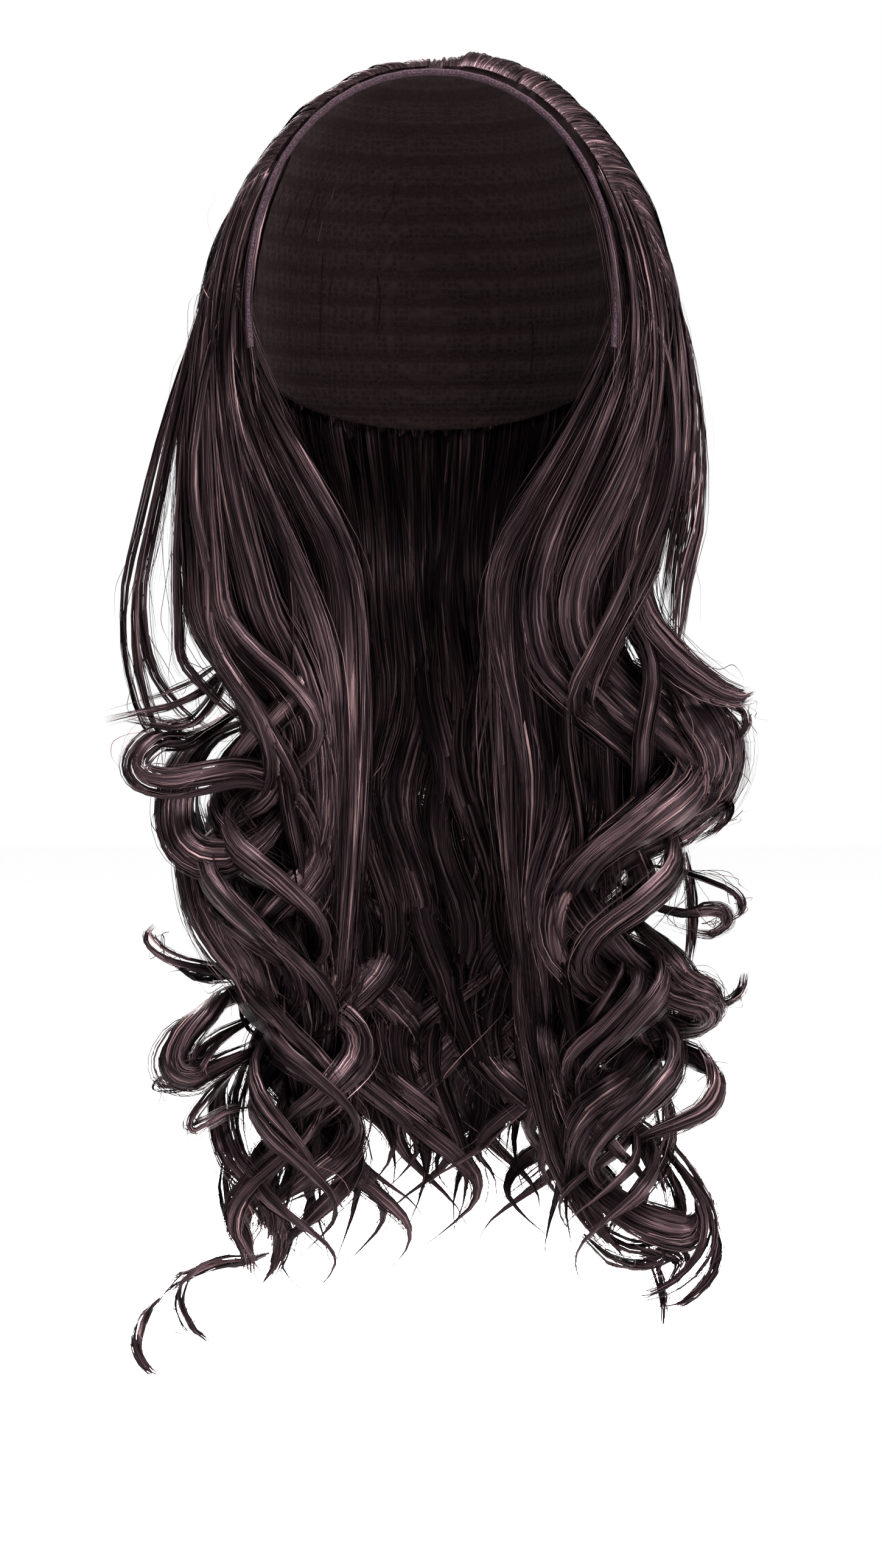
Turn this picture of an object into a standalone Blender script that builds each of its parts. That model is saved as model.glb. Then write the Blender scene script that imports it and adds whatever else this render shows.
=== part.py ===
# Half wig: a fitted cap open at the front, a stitched edge band, and long waved hair.
# Metres, +Z up, +X to the right seen from the front, +Y towards the back of the head.
# The origin is the inside top of the cap, where it sits on the crown of the head.

import math
from collections import namedtuple

import bmesh
import bpy
from mathutils import Matrix, Vector

# The head that the wig fits
HEAD_WIDTH = 0.155
HEAD_LENGTH = 0.190
CROWN_HEIGHT = 0.098
HEAD_ROUNDNESS = 2.15

# The room left for the neck below the head
NECK_ROOM_WIDTH = 0.100
NECK_ROOM_LENGTH = 0.130
NECK_ROOM_DROP = 0.450

# The cap, whose hem slopes from the temples down to the nape
CAP_WALL = 0.0015
CAP_TEMPLE_DROP = 0.116
CAP_NAPE_DROP = 0.150
PIECE_GAP = 0.0003

# The band that binds the cap's front edge
BAND_THICKNESS = 0.0030
BAND_DEPTH = 0.0060

# The hair over the crown, and the parting right of the middle
PARTING_X = 0.012
TOP_HAIR_LEFT = 0.0050
TOP_HAIR_RIGHT = 0.0092
SIDE_HAIR_LEFT = 0.0265
SIDE_HAIR_RIGHT = 0.0315
BACK_HAIR = 0.0200
CROWN_RIB_HEIGHT = 0.0012
CROWN_GROWTH = 2.2
FRONT_ROUNDING = 0.0240
FRONT_HAIR_SHARE = 0.40
HAIR_FRONT = 0.0015

# The hair that hangs below the head, down to the tips
HAIR_DROP = 0.540
SEAM_TEMPLE_DROP = 0.104
SEAM_NAPE_DROP = 0.128
BACKING_INSET = 0.0090
BACKING_DROP = 0.440

# The locks
LOCK_WIDTH = 0.0205
LOCK_THICKNESS = 0.0150
LOCK_SWELL = 1.20
LOCK_TIP = 0.0060
SWELL_END = 0.50
TAPER_START = 0.68
WAVE_START = 0.150
WAVE_FULL = 0.330
WAVE_LENGTH = 0.112
CURL_LENGTH = 0.078
WAVE_RADIUS = 0.0130
FIRST_AZIMUTH = 7.0
LAST_AZIMUTH = 173.0
FRONT_LOCK_INSET = 0.0200
CURL_DRIFT = 0.80
CURL_FLATNESS = 0.60
CURL_END_SHARE = 0.60

# How finely the shapes are faceted
LOCK_SIDES = 6
LOCK_STEP = 0.0205
LOCK_STEP_BIAS = 0.85
HAIR_COLUMNS = 60
HAIR_ROWS = 24
CAP_COLUMNS = 40
CAP_ROWS = 22
BACKING_COLUMNS = 36
BACKING_ROWS = 8
BAND_STEPS = 32
BAND_SIDES = 8
NECK_SIDES = 24
CURL_STEPS = 10

# Widths of the hanging hair beyond the head, as shares of the crown's side and back hair
Section = namedtuple("Section", "drop left right back")
SECTIONS = (
    Section(0.00, 1.00, 1.00, 1.00),
    Section(0.20, 0.95, 0.94, 0.96),
    Section(0.27, 1.20, 1.08, 0.82),
    Section(0.32, 1.55, 1.10, 0.72),
    Section(0.38, 1.78, 0.95, 0.62),
    Section(0.44, 1.92, 0.79, 0.52),
    Section(0.49, 1.90, 1.33, 0.48),
    Section(0.54, 1.70, 1.66, 0.44),
    Section(0.60, 1.20, 1.35, 0.38),
    Section(0.66, 1.02, 0.92, 0.30),
    Section(0.74, 1.25, 1.35, 0.15),
    Section(0.82, 0.72, 1.10, -0.05),
    Section(0.90, 0.45, 1.06, -0.35),
    Section(1.00, 0.62, 0.68, -0.70),
)

# The outer locks of each node, evenly spaced from the right temple round to the left temple.
# tip is a share of the hair's drop, curl and sway shares of the wave radius out from the head
# and along it, turn a share of a wave. Locks beside a neighbouring node barely sway.
Lock = namedtuple("Lock", "node tip curl sway turn")
LOCKS = (
    Lock("right_hair", 0.99, 0.50, 1.20, 0.05),
    Lock("right_hair", 1.00, 0.90, 1.10, 0.20),
    Lock("right_hair", 0.93, 1.15, 1.10, 0.42),
    Lock("right_hair", 0.98, 1.10, 0.90, 0.10),
    Lock("right_hair", 0.94, 1.05, 0.10, 0.55),
    Lock("back_hair", 0.97, 1.05, 0.10, 0.25),
    Lock("back_hair", 0.93, 0.95, 0.90, 0.70),
    Lock("back_hair", 0.98, 1.00, 1.00, 0.30),
    Lock("back_hair", 0.92, 0.95, 0.90, 0.80),
    Lock("back_hair", 0.96, 1.00, 0.10, 0.45),
    Lock("left_hair", 0.93, 1.05, 0.10, 0.15),
    Lock("left_hair", 0.97, 1.10, 0.90, 0.60),
    Lock("left_hair", 0.90, 1.05, 1.00, 0.95),
    Lock("left_hair", 0.96, 0.90, 1.10, 0.50),
    Lock("left_hair", 0.94, 0.50, 1.20, 0.75),
)

# The locks on the front of the side hair, from the outer one in towards the neck.
FrontLock = namedtuple("FrontLock", "node inset tip curl sway turn")
FRONT_LOCKS = (
    FrontLock("right_hair", 1.0, 0.95, 0.95, 0.80, 0.60),
    FrontLock("right_hair", 1.9, 0.84, 0.40, 0.80, 0.20),
    FrontLock("left_hair", 1.0, 0.92, 0.95, 0.80, 0.35),
    FrontLock("left_hair", 1.9, 0.82, 0.40, 0.80, 0.80),
)

# Stray curls that leave a lock, counted from the right temple. leave and fall are shares of the
# hair's drop, reach a share of the side hair, width of a lock. sweep 1 turns right back to the
# lock, and 0.5 stays out.
Curl = namedtuple("Curl", "lock leave fall reach width sweep")
CURLS = (
    Curl(14, 0.492, 0.052, 0.62, 0.60, 1.0),
    Curl(13, 0.660, 0.050, 0.90, 0.45, 1.0),
    Curl(14, 0.720, 0.075, 0.40, 0.75, 1.0),
    Curl(13, 0.905, 0.120, 1.35, 0.45, 0.6),
    Curl(0, 0.475, 0.045, 0.45, 0.50, 1.0),
    Curl(1, 0.630, 0.045, 0.75, 0.35, 1.0),
    Curl(0, 0.700, 0.055, 0.45, 0.60, 1.0),
    Curl(0, 0.765, 0.065, 0.45, 0.45, 1.0),
)

# Colours as red, green and blue, with roughness
DARK_BROWN = (0.030, 0.018, 0.015)
DEEP_BROWN = (0.022, 0.013, 0.011)
CAP_BROWN = (0.045, 0.028, 0.025)
BAND_BROWN = (0.085, 0.052, 0.050)
HAIR_ROUGHNESS = 0.42
CLOTH_ROUGHNESS = 0.85

HEAD_CENTRE = Vector((0, 0, -CROWN_HEIGHT))
LOCK_SPACING = (LAST_AZIMUTH - FIRST_AZIMUTH) / (len(LOCKS) - 1)
FAR = 1.0
CUT_MARGIN = 0.02


# Scene, collections and materials


def clear_scene():
    for obj in list(bpy.data.objects):
        bpy.data.objects.remove(obj)


def new_collection(name):
    collection = bpy.data.collections.new(name)
    bpy.context.scene.collection.children.link(collection)
    return collection


def material(name, colour, roughness):
    made = bpy.data.materials.new(name)
    made.use_nodes = True
    shader = made.node_tree.nodes["Principled BSDF"]
    shader.inputs["Base Color"].default_value = (*colour, 1)
    shader.inputs["Roughness"].default_value = roughness
    shader.inputs["Metallic"].default_value = 0
    made.diffuse_color = (*colour, 1)
    return made


def add_object(name, bm, collection, look=None):
    mesh = bpy.data.meshes.new(name)
    bm.to_mesh(mesh)
    bm.free()
    obj = bpy.data.objects.new(name, mesh)
    collection.objects.link(obj)
    if look:
        mesh.materials.append(look)
    return obj


def add_helper(name, bm, collection):
    obj = add_object(name, bm, collection)
    obj.hide_render = True
    obj.display_type = "WIRE"
    return obj


# Modifiers


def boolean(obj, operation, other, solver="EXACT"):
    cut = obj.modifiers.new(operation.lower() + "_" + other.name, "BOOLEAN")
    cut.operation = operation
    cut.solver = solver
    cut.object = other


def shade(obj, angle=40):
    obj.data.shade_smooth()
    obj.data.set_sharp_from_angle(angle=math.radians(angle))


# Head form


def ease(value):
    """0 below 0, 1 above 1, and smooth between."""
    value = min(max(value, 0.0), 1.0)
    return value * value * (3 - 2 * value)


def head_radius(direction):
    """From the head's centre to its surface, in a unit direction."""
    half = (HEAD_WIDTH / 2, HEAD_LENGTH / 2, CROWN_HEIGHT)
    total = sum(abs(d / h) ** HEAD_ROUNDNESS for d, h in zip(direction, half))
    return total ** (-1 / HEAD_ROUNDNESS)


def head_form(offset, columns, rows):
    """A closed ball in the head's shape, offset outwards by a distance or a function of direction."""
    bm = bmesh.new()
    bmesh.ops.create_uvsphere(bm, u_segments=columns, v_segments=rows, radius=1)
    for vert in bm.verts:
        direction = vert.co.normalized()
        extra = offset(direction) if callable(offset) else offset
        vert.co = HEAD_CENTRE + direction * (head_radius(direction) + extra)
    return bm


# Cutters


def block(name, collection, low, high, turn=0.0):
    """A box between two corners, turned about the vertical."""
    bm = bmesh.new()
    bmesh.ops.create_cube(bm, size=1)
    low, high = Vector(low), Vector(high)
    size = high - low
    for vert in bm.verts:
        vert.co = (low + high) / 2 + Vector(c * s for c, s in zip(vert.co, size))
    bmesh.ops.rotate(bm, verts=bm.verts, cent=(0, 0, 0), matrix=Matrix.Rotation(turn, 3, "Z"))
    return add_helper(name, bm, collection)


def below_slope(name, collection, temple_drop, nape_drop, above=False):
    """All that lies below, or above, a plane that slopes from the temples to the nape."""
    slope = math.atan2(nape_drop - temple_drop, HEAD_LENGTH / 2)
    bm = bmesh.new()
    bmesh.ops.create_cube(bm, size=2 * FAR)
    side = FAR if above else -FAR
    bmesh.ops.translate(bm, verts=bm.verts, vec=(0, 0, side))
    bmesh.ops.rotate(bm, verts=bm.verts, cent=(0, 0, 0), matrix=Matrix.Rotation(-slope, 3, "X"))
    bmesh.ops.translate(bm, verts=bm.verts, vec=(0, 0, -temple_drop))
    return add_helper(name, bm, collection)


def head_and_neck_room(collection):
    """The space for the capped head and for the neck, which no hair enters."""
    clear = CAP_WALL + PIECE_GAP
    head = add_helper("head_room", head_form(clear, CAP_COLUMNS, CAP_ROWS), collection)
    bm = bmesh.new()
    top = -CROWN_HEIGHT
    bottom = -NECK_ROOM_DROP
    bmesh.ops.create_cone(
        bm, cap_ends=True, segments=NECK_SIDES, radius1=1, radius2=1, depth=top - bottom
    )
    for vert in bm.verts:
        vert.co.x *= NECK_ROOM_WIDTH / 2
        vert.co.y *= NECK_ROOM_LENGTH / 2
        vert.co.z += (top + bottom) / 2
    neck = add_helper("neck_room", bm, collection)
    return head, neck


# Cap and edge band


def make_cap(parts, look):
    """Thin fitted shell on the back of the head, open at the front and below."""
    bm = head_form(0.0, CAP_COLUMNS, CAP_ROWS)
    slope = (CAP_NAPE_DROP - CAP_TEMPLE_DROP) / (HEAD_LENGTH / 2)
    front = ((0, 0, 0), (0, -1, 0))
    hem = ((0, 0, -CAP_TEMPLE_DROP), (0, -slope, -1))
    for point, normal in (front, hem):
        everything = bm.verts[:] + bm.edges[:] + bm.faces[:]
        bmesh.ops.bisect_plane(
            bm, geom=everything, plane_co=point, plane_no=normal, clear_outer=True
        )
    cap = add_object("cap", bm, parts, look)
    wall = cap.modifiers.new("wall", "SOLIDIFY")
    wall.thickness = CAP_WALL
    wall.offset = 1
    wall.use_even_offset = True
    shade(cap)


def arch_point(angle, offset):
    """A point over the head in the plane of the ears; angle 0 is the top, positive to the right."""
    direction = Vector((math.sin(angle), 0, math.cos(angle)))
    return HEAD_CENTRE + direction * (head_radius(direction) + offset)


def make_band(parts, look):
    """A rounded binding along the cap's front edge, from temple to temple."""
    below = math.acos((CROWN_HEIGHT - CAP_TEMPLE_DROP) / (HEAD_WIDTH / 2))
    half = BAND_THICKNESS / 2
    rings = []
    for step in range(BAND_STEPS + 1):
        angle = below * (2 * step / BAND_STEPS - 1)
        centre = arch_point(angle, CAP_WALL / 2)
        outward = (centre - HEAD_CENTRE).normalized()
        centre = centre - Vector((0, BAND_DEPTH / 2 + PIECE_GAP, 0))
        ring = []
        for corner in range(BAND_SIDES):
            turn = math.tau * (corner + 0.5) / BAND_SIDES
            ring.append(
                centre
                + outward * half * math.cos(turn)
                + Vector((0, BAND_DEPTH / 2 * math.sin(turn), 0))
            )
        rings.append(ring)
    band = add_object("edge_band", loft(rings), parts, look)
    shade(band)


# Hair shapes


def loft(rings):
    """A closed body through rings of points, with both ends filled."""
    bm = bmesh.new()
    loops = [[bm.verts.new(point) for point in ring] for ring in rings]
    count = len(loops[0])
    for one, two in zip(loops, loops[1:]):
        for i in range(count):
            j = (i + 1) % count
            bm.faces.new((one[i], one[j], two[j], two[i]))
    bm.faces.new(loops[0][::-1])
    bm.faces.new(loops[-1])
    bmesh.ops.recalc_face_normals(bm, faces=bm.faces)
    return bm


def rib(azimuth):
    """The height of the crown's ribs, one above each hanging lock."""
    turns = (math.degrees(azimuth) - FIRST_AZIMUTH) / LOCK_SPACING
    return CROWN_RIB_HEIGHT * math.cos(math.tau * turns)


def crown_thickness(direction):
    """The depth of hair over the cap: thin at the parting, fuller towards the sides."""
    azimuth = math.atan2(direction.y, direction.x)
    polar = math.acos(min(max(direction.z, -1.0), 1.0))
    beside = ease((direction.x * CROWN_HEIGHT - PARTING_X) / PARTING_X + 0.5)
    top = TOP_HAIR_LEFT + (TOP_HAIR_RIGHT - TOP_HAIR_LEFT) * beside
    side = SIDE_HAIR_RIGHT if direction.x > 0 else SIDE_HAIR_LEFT
    rearward = max(math.sin(azimuth), 0.0) ** 2
    low = side * (1 - rearward) + BACK_HAIR * rearward
    grown = min(polar / (math.pi / 2), 1.0) ** CROWN_GROWTH
    return (top + (low - top) * grown) * front_share(direction) + rib(azimuth) * grown


def front_share(direction):
    """Thinner over the front edge, and full again once a rounding's depth behind it."""
    behind = direction.y * head_radius(direction) / FRONT_ROUNDING
    short = 1 - min(max(behind, 0.0), 1.0)
    return FRONT_HAIR_SHARE + (1 - FRONT_HAIR_SHARE) * math.sqrt(1 - short * short)


def make_crown_hair(parts, look, seam, head, front):
    """The hair combed over the cap, cut off where the hanging locks begin."""
    clear = CAP_WALL + PIECE_GAP
    bm = head_form(lambda d: clear + crown_thickness(d), HAIR_COLUMNS, HAIR_ROWS)
    crown = add_object("crown_hair", bm, parts, look)
    for cutter in (head, front, seam):
        boolean(crown, "DIFFERENCE", cutter)
    shade(crown)


def section_at(drop):
    """The shares of side and back hair at a distance below the crown."""
    share = min(max(drop / HAIR_DROP, 0.0), 1.0)
    for one, two in zip(SECTIONS, SECTIONS[1:]):
        if share <= two.drop:
            mix = ease((share - one.drop) / (two.drop - one.drop))
            return Section(share, *(a + (b - a) * mix for a, b in zip(one[1:], two[1:])))
    return SECTIONS[-1]


def mass_point(azimuth, drop, inset=0.0):
    """A point on the outside of the hanging hair, or inset from it."""
    shares = section_at(drop)
    cos, sin = math.cos(azimuth), math.sin(azimuth)
    side = SIDE_HAIR_RIGHT * shares.right if cos > 0 else SIDE_HAIR_LEFT * shares.left
    across = HEAD_WIDTH / 2 + CAP_WALL + side - inset
    along = HEAD_LENGTH / 2 + CAP_WALL + BACK_HAIR * shares.back - inset
    reach = (abs(cos / across) ** HEAD_ROUNDNESS + abs(sin / along) ** HEAD_ROUNDNESS) ** (
        -1 / HEAD_ROUNDNESS
    )
    return Vector((cos * reach, sin * reach, -drop))


def backing_form():
    """The dense inner hair that the locks lie on, as a whole column before it is cut."""
    top = SEAM_TEMPLE_DROP - CUT_MARGIN
    turns = [math.tau * i / BACKING_COLUMNS for i in range(BACKING_COLUMNS)]
    rings = []
    for level in range(BACKING_ROWS + 1):
        drop = top + (BACKING_DROP - top) * level / BACKING_ROWS
        rings.append([mass_point(turn, drop, BACKING_INSET) for turn in turns])
    return loft(rings)


def swept(route, widths, thicknesses, outward):
    """A closed tapered body with flattened round sections along a route."""
    rings = []
    normal = outward
    for i, point in enumerate(route):
        ahead = route[min(i + 1, len(route) - 1)]
        behind = route[max(i - 1, 0)]
        tangent = (ahead - behind).normalized()
        normal = (normal - tangent * normal.dot(tangent)).normalized()
        across = tangent.cross(normal)
        rings.append(
            [
                point
                + across * widths[i] / 2 * math.cos(math.tau * k / LOCK_SIDES)
                + normal * thicknesses[i] / 2 * math.sin(math.tau * k / LOCK_SIDES)
                for k in range(LOCK_SIDES)
            ]
        )
    return loft(rings)


def lock_route(azimuth, inset, row):
    """From inside the crown hair down to the tip, with waves that tighten into curls."""
    start = SEAM_TEMPLE_DROP - CUT_MARGIN
    tip = row.tip * HAIR_DROP
    count = max(int((tip - start) / LOCK_STEP), 8)
    out = Vector((math.cos(azimuth), math.sin(azimuth), 0))
    sideways = Vector((-out.y, out.x, 0))
    phase = math.tau * row.turn
    drops = [start + (tip - start) * (i / count) ** LOCK_STEP_BIAS for i in range(count + 1)]
    route = []
    for i, drop in enumerate(drops):
        swing = ease((drop - WAVE_START) / (WAVE_FULL - WAVE_START))
        radius = WAVE_RADIUS * swing
        base = mass_point(azimuth, drop, inset + LOCK_THICKNESS / 2 + radius * row.curl)
        route.append(
            base
            + out * math.cos(phase) * radius * row.curl
            + sideways * math.sin(phase) * radius * row.sway
        )
        pitch = WAVE_LENGTH + (CURL_LENGTH - WAVE_LENGTH) * swing
        phase += math.tau * (drops[min(i + 1, count)] - drop) / pitch
    return route


def lock_body(azimuth, inset, row):
    """One hanging lock: fuller where it curls, and tapering to its tip."""
    route = lock_route(azimuth, inset, row)
    places = [i / (len(route) - 1) for i in range(len(route))]
    full = [1 + (LOCK_SWELL - 1) * ease(place / SWELL_END) for place in places]
    taper = [1 - ease((place - TAPER_START) / (1 - TAPER_START)) for place in places]
    widths = [LOCK_TIP + (LOCK_WIDTH * f - LOCK_TIP) * t for f, t in zip(full, taper)]
    thick = [LOCK_TIP + (LOCK_THICKNESS * f - LOCK_TIP) * t for f, t in zip(full, taper)]
    out = Vector((math.cos(azimuth), math.sin(azimuth), 0))
    return swept(route, widths, thick, out)


def azimuth_of(index):
    """The azimuth of an outer lock, in radians from the right side."""
    return math.radians(FIRST_AZIMUTH + LOCK_SPACING * index)


def curl_body(curl):
    """A stray curl: out of its lock, round in a level loop, and back."""
    azimuth = azimuth_of(curl.lock)
    side = SIDE_HAIR_LEFT if azimuth > math.pi / 2 else SIDE_HAIR_RIGHT
    out = Vector((math.cos(azimuth), math.sin(azimuth), 0))
    sideways = Vector((-out.y, out.x, 0))
    fall = curl.fall * HAIR_DROP
    path = lock_route(azimuth, 0, LOCKS[curl.lock])
    root = min(path, key=lambda point: abs(point.z + curl.leave * HAIR_DROP))
    route = []
    for i in range(CURL_STEPS + 1):
        share = i / CURL_STEPS
        swing = math.sin(math.pi * share * curl.sweep)
        turn = (1 - math.cos(math.pi * share)) * LOCK_WIDTH * CURL_DRIFT
        route.append(root + out * side * curl.reach * swing + sideways * turn
                     - Vector((0, 0, fall * share)))
    width = LOCK_WIDTH * curl.width
    arcs = [math.sin(math.pi * i / CURL_STEPS) for i in range(CURL_STEPS + 1)]
    widths = [width * (CURL_END_SHARE + (1 - CURL_END_SHARE) * arc) for arc in arcs]
    thick = [CURL_FLATNESS * one for one in widths]
    return swept(route, widths, thick, Vector((0, 0, 1)))


def node_walls(name, cutters):
    """Cutters that keep a node's hair clear of the hair beside it, midway between two locks."""
    walls = []
    for index, (one, two) in enumerate(zip(LOCKS, LOCKS[1:])):
        if one.node == two.node or name not in (one.node, two.node):
            continue
        turn = (azimuth_of(index) + azimuth_of(index + 1)) / 2
        if name == one.node:
            corners = ((-FAR, -PIECE_GAP, -FAR), (FAR, FAR, FAR))
        else:
            corners = ((-FAR, -FAR, -FAR), (FAR, PIECE_GAP, FAR))
        walls.append(block(f"{name}_wall_{index}", cutters, *corners, turn=turn))
    return walls


def lock_bodies(cutters):
    """Every lock and stray curl as a helper, each with the node that it belongs to."""
    bodies = []
    for index, row in enumerate(LOCKS):
        body = add_helper(f"lock_{index:02d}", lock_body(azimuth_of(index), 0, row), cutters)
        bodies.append((row.node, body))
    for index, row in enumerate(FRONT_LOCKS):
        azimuth = azimuth_of(0) if row.node == LOCKS[0].node else azimuth_of(len(LOCKS) - 1)
        body = lock_body(azimuth, FRONT_LOCK_INSET * row.inset, row)
        bodies.append((row.node, add_helper(f"front_lock_{index:02d}", body, cutters)))
    for index, row in enumerate(CURLS):
        body = add_helper(f"curl_{index:02d}", curl_body(row), cutters)
        bodies.append((LOCKS[row.lock].node, body))
    return bodies


def make_hanging_hair(parts, cutters, looks, above, head, neck):
    """The left, right and back hair, each its locks fused to a share of the backing.

    The solver is MANIFOLD, because EXACT loses the body where a plane cuts many fused locks.
    """
    bodies = lock_bodies(cutters)
    face = HAIR_FRONT + LOCK_THICKNESS / 2
    front = block("backing_front_space", cutters, (-FAR, -FAR, -FAR), (FAR, face, FAR))
    for name, look in looks.items():
        node = add_object(name, backing_form(), parts, look)
        boolean(node, "DIFFERENCE", front, "MANIFOLD")
        for owner, body in bodies:
            if owner == name:
                boolean(node, "UNION", body, "MANIFOLD")
        for cutter in (above, head, neck, *node_walls(name, cutters)):
            boolean(node, "DIFFERENCE", cutter, "MANIFOLD")
        shade(node)


def main():
    clear_scene()
    parts = new_collection("half_wig")
    cutters = new_collection("cutters")
    hair = material("hair", DARK_BROWN, HAIR_ROUGHNESS)
    under_hair = material("under_hair", DEEP_BROWN, HAIR_ROUGHNESS)
    cap_cloth = material("cap_cloth", CAP_BROWN, CLOTH_ROUGHNESS)
    band_cloth = material("band_cloth", BAND_BROWN, CLOTH_ROUGHNESS)
    make_cap(parts, cap_cloth)
    make_band(parts, band_cloth)
    head, neck = head_and_neck_room(cutters)
    front = block("front_space", cutters, (-FAR, -FAR, -FAR), (FAR, HAIR_FRONT, FAR))
    seam = below_slope("below_seam", cutters, SEAM_TEMPLE_DROP, SEAM_NAPE_DROP)
    above = below_slope(
        "above_seam",
        cutters,
        SEAM_TEMPLE_DROP + 2 * PIECE_GAP,
        SEAM_NAPE_DROP + 2 * PIECE_GAP,
        above=True,
    )
    make_crown_hair(parts, hair, seam, head, front)
    looks = {"left_hair": hair, "right_hair": hair, "back_hair": under_hair}
    make_hanging_hair(parts, cutters, looks, above, head, neck)


main()
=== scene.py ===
# Half wig, dressed: combed ribbons of dark hair that fall into loose curls, over an open cap
# with a stitched edge band. Metres, +Z up, +X to the right seen from the front, +Y to the back.

import math
from collections import namedtuple

import bpy
import numpy as np
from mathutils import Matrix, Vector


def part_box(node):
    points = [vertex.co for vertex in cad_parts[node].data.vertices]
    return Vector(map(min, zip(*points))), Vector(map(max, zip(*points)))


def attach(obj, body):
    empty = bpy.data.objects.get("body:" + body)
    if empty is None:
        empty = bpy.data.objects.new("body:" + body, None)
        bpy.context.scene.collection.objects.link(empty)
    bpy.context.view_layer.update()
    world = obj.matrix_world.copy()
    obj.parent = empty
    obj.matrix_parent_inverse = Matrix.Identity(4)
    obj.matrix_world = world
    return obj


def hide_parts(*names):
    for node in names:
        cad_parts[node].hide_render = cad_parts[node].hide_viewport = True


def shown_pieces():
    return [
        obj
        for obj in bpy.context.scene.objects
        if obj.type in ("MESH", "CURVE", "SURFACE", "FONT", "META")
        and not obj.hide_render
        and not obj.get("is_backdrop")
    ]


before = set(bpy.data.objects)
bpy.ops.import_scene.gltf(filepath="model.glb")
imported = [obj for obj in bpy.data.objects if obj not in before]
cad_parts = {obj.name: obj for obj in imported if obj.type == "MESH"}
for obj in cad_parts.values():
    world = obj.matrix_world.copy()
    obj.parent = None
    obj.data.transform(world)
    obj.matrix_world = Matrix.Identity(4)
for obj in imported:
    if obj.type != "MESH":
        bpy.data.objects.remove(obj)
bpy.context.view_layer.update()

# The photograph's frame, and the plane through the front of the head that its scale is true in
PHOTO_WIDTH = 1449
PHOTO_HEIGHT = 2576
PIXEL = 0.0002592
HEAD_PIXEL_X = 710
CROWN_PIXEL_Y = 122

# The camera looks level along +Y
CAMERA_DISTANCE = 2.8
SENSOR = 0.036
CAMERA_X = (PHOTO_WIDTH / 2 - HEAD_PIXEL_X) * PIXEL
CAMERA_Z = (CROWN_PIXEL_Y - PHOTO_HEIGHT / 2) * PIXEL
FLOOR_PIXEL_Y = 2465
FLOOR_Z = (CROWN_PIXEL_Y - FLOOR_PIXEL_Y) * PIXEL

# The head under the cap, from the cap's own box
CAP_WALL = 0.0015
CAP_LOW, CAP_HIGH = (np.array(corner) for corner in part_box("cap"))
HEAD_HALF = np.array([CAP_HIGH[0] - CAP_WALL, CAP_HIGH[1] - CAP_WALL, 0.098])
HEAD_CENTRE = np.array([0.0, 0.0, -HEAD_HALF[2]])
HEAD_ROUNDNESS = 2.15

# The hair over the crown
PARTING_X = 0.012
PARTING_WIDTH = 0.008
ROOT_LIFT = 0.15
RISE_ANGLE = 0.30
MOST_LIFT = 0.74
LAST_ROOT = math.radians(82)
CROWDING = 2.4
TOP_HAIR_LEFT = 0.0060
TOP_HAIR_RIGHT = 0.0105
SIDE_HAIR_LEFT = 0.0235
SIDE_HAIR_RIGHT = 0.0300
BACK_HAIR = 0.0215
GROWTH_LEFT = 2.4
GROWTH_RIGHT = 1.4
MOST_GROWTH = 1.2
FRONT_ROUNDING = 0.011
MANTLE_LIFT = 0.92
MANTLE_END = 0.29
CROWN_FOOT = 0.05
CROWN_FADE = 0.10

# The mesh of the combed hair, and the strands that lie on it
MANTLE_COLUMNS = 170
OVER_ROWS = 34
HANG_ROWS = 16
EDGE_TURNS = 5
EDGE_BULGE = 0.0025
COLUMN_CROWDING = 0.78
TUCK_ANGLE = math.radians(16)
CROWN_STRANDS = 2600
CROWN_BUNCH = 4
STRAND_RINGS = 22
STRAND_CROWDING = 0.85
HOOK_RIGHT = 0.09
HOOK_LEFT = 0.02

# How a lock changes along its length, in shares of it
FULL_WIDTH_AT = 0.25
NARROWS_FROM = 0.62
CORE_THINS_FROM = 0.86

# How fine the hair is
STRAND_WIDTH = 0.00075
STRAIGHT_STEP = 0.018
BEND_STEP = 0.36
FILL_BEND = 0.55
CORE_SIDES = 10
CORE_SHARE = 0.76
CORE_RIPPLE = 0.14
STREAK_UNIT = 0.0035
STRAND_STREAKS = 0.17
STRAY_WIDTH = 0.00032
FLYAWAY_WIDTH = 0.00026
CLUMP = 6
LOOSE_SHARE = 0.16
LOOSE_WIDTH = STRAY_WIDTH * 1.2

SEED = 7
RANDOM = np.random.default_rng(SEED)


# Small helpers


def ease(value):
    value = np.clip(value, 0.0, 1.0)
    return value * value * (3 - 2 * value)


def unit(vectors):
    return vectors / np.maximum(np.linalg.norm(vectors, axis=-1, keepdims=True), 1e-9)


def photo_point(pixel_x, pixel_y, depth_mm):
    """The place that shows at a pixel of the photograph, at a depth behind the front plane."""
    depth = depth_mm / 1000
    spread = (CAMERA_DISTANCE + depth) / CAMERA_DISTANCE
    x = CAMERA_X + ((pixel_x - HEAD_PIXEL_X) * PIXEL - CAMERA_X) * spread
    z = CAMERA_Z + ((CROWN_PIXEL_Y - pixel_y) * PIXEL - CAMERA_Z) * spread
    return np.array([x, depth, z])


# The crown's shape


def oval_reach(direction, half):
    """From the middle of a rounded form to its surface, along unit directions."""
    total = np.sum(np.abs(direction / half) ** HEAD_ROUNDNESS, axis=-1)
    return total ** (-1 / HEAD_ROUNDNESS)


def head_radius(direction):
    return oval_reach(direction, HEAD_HALF)


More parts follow.
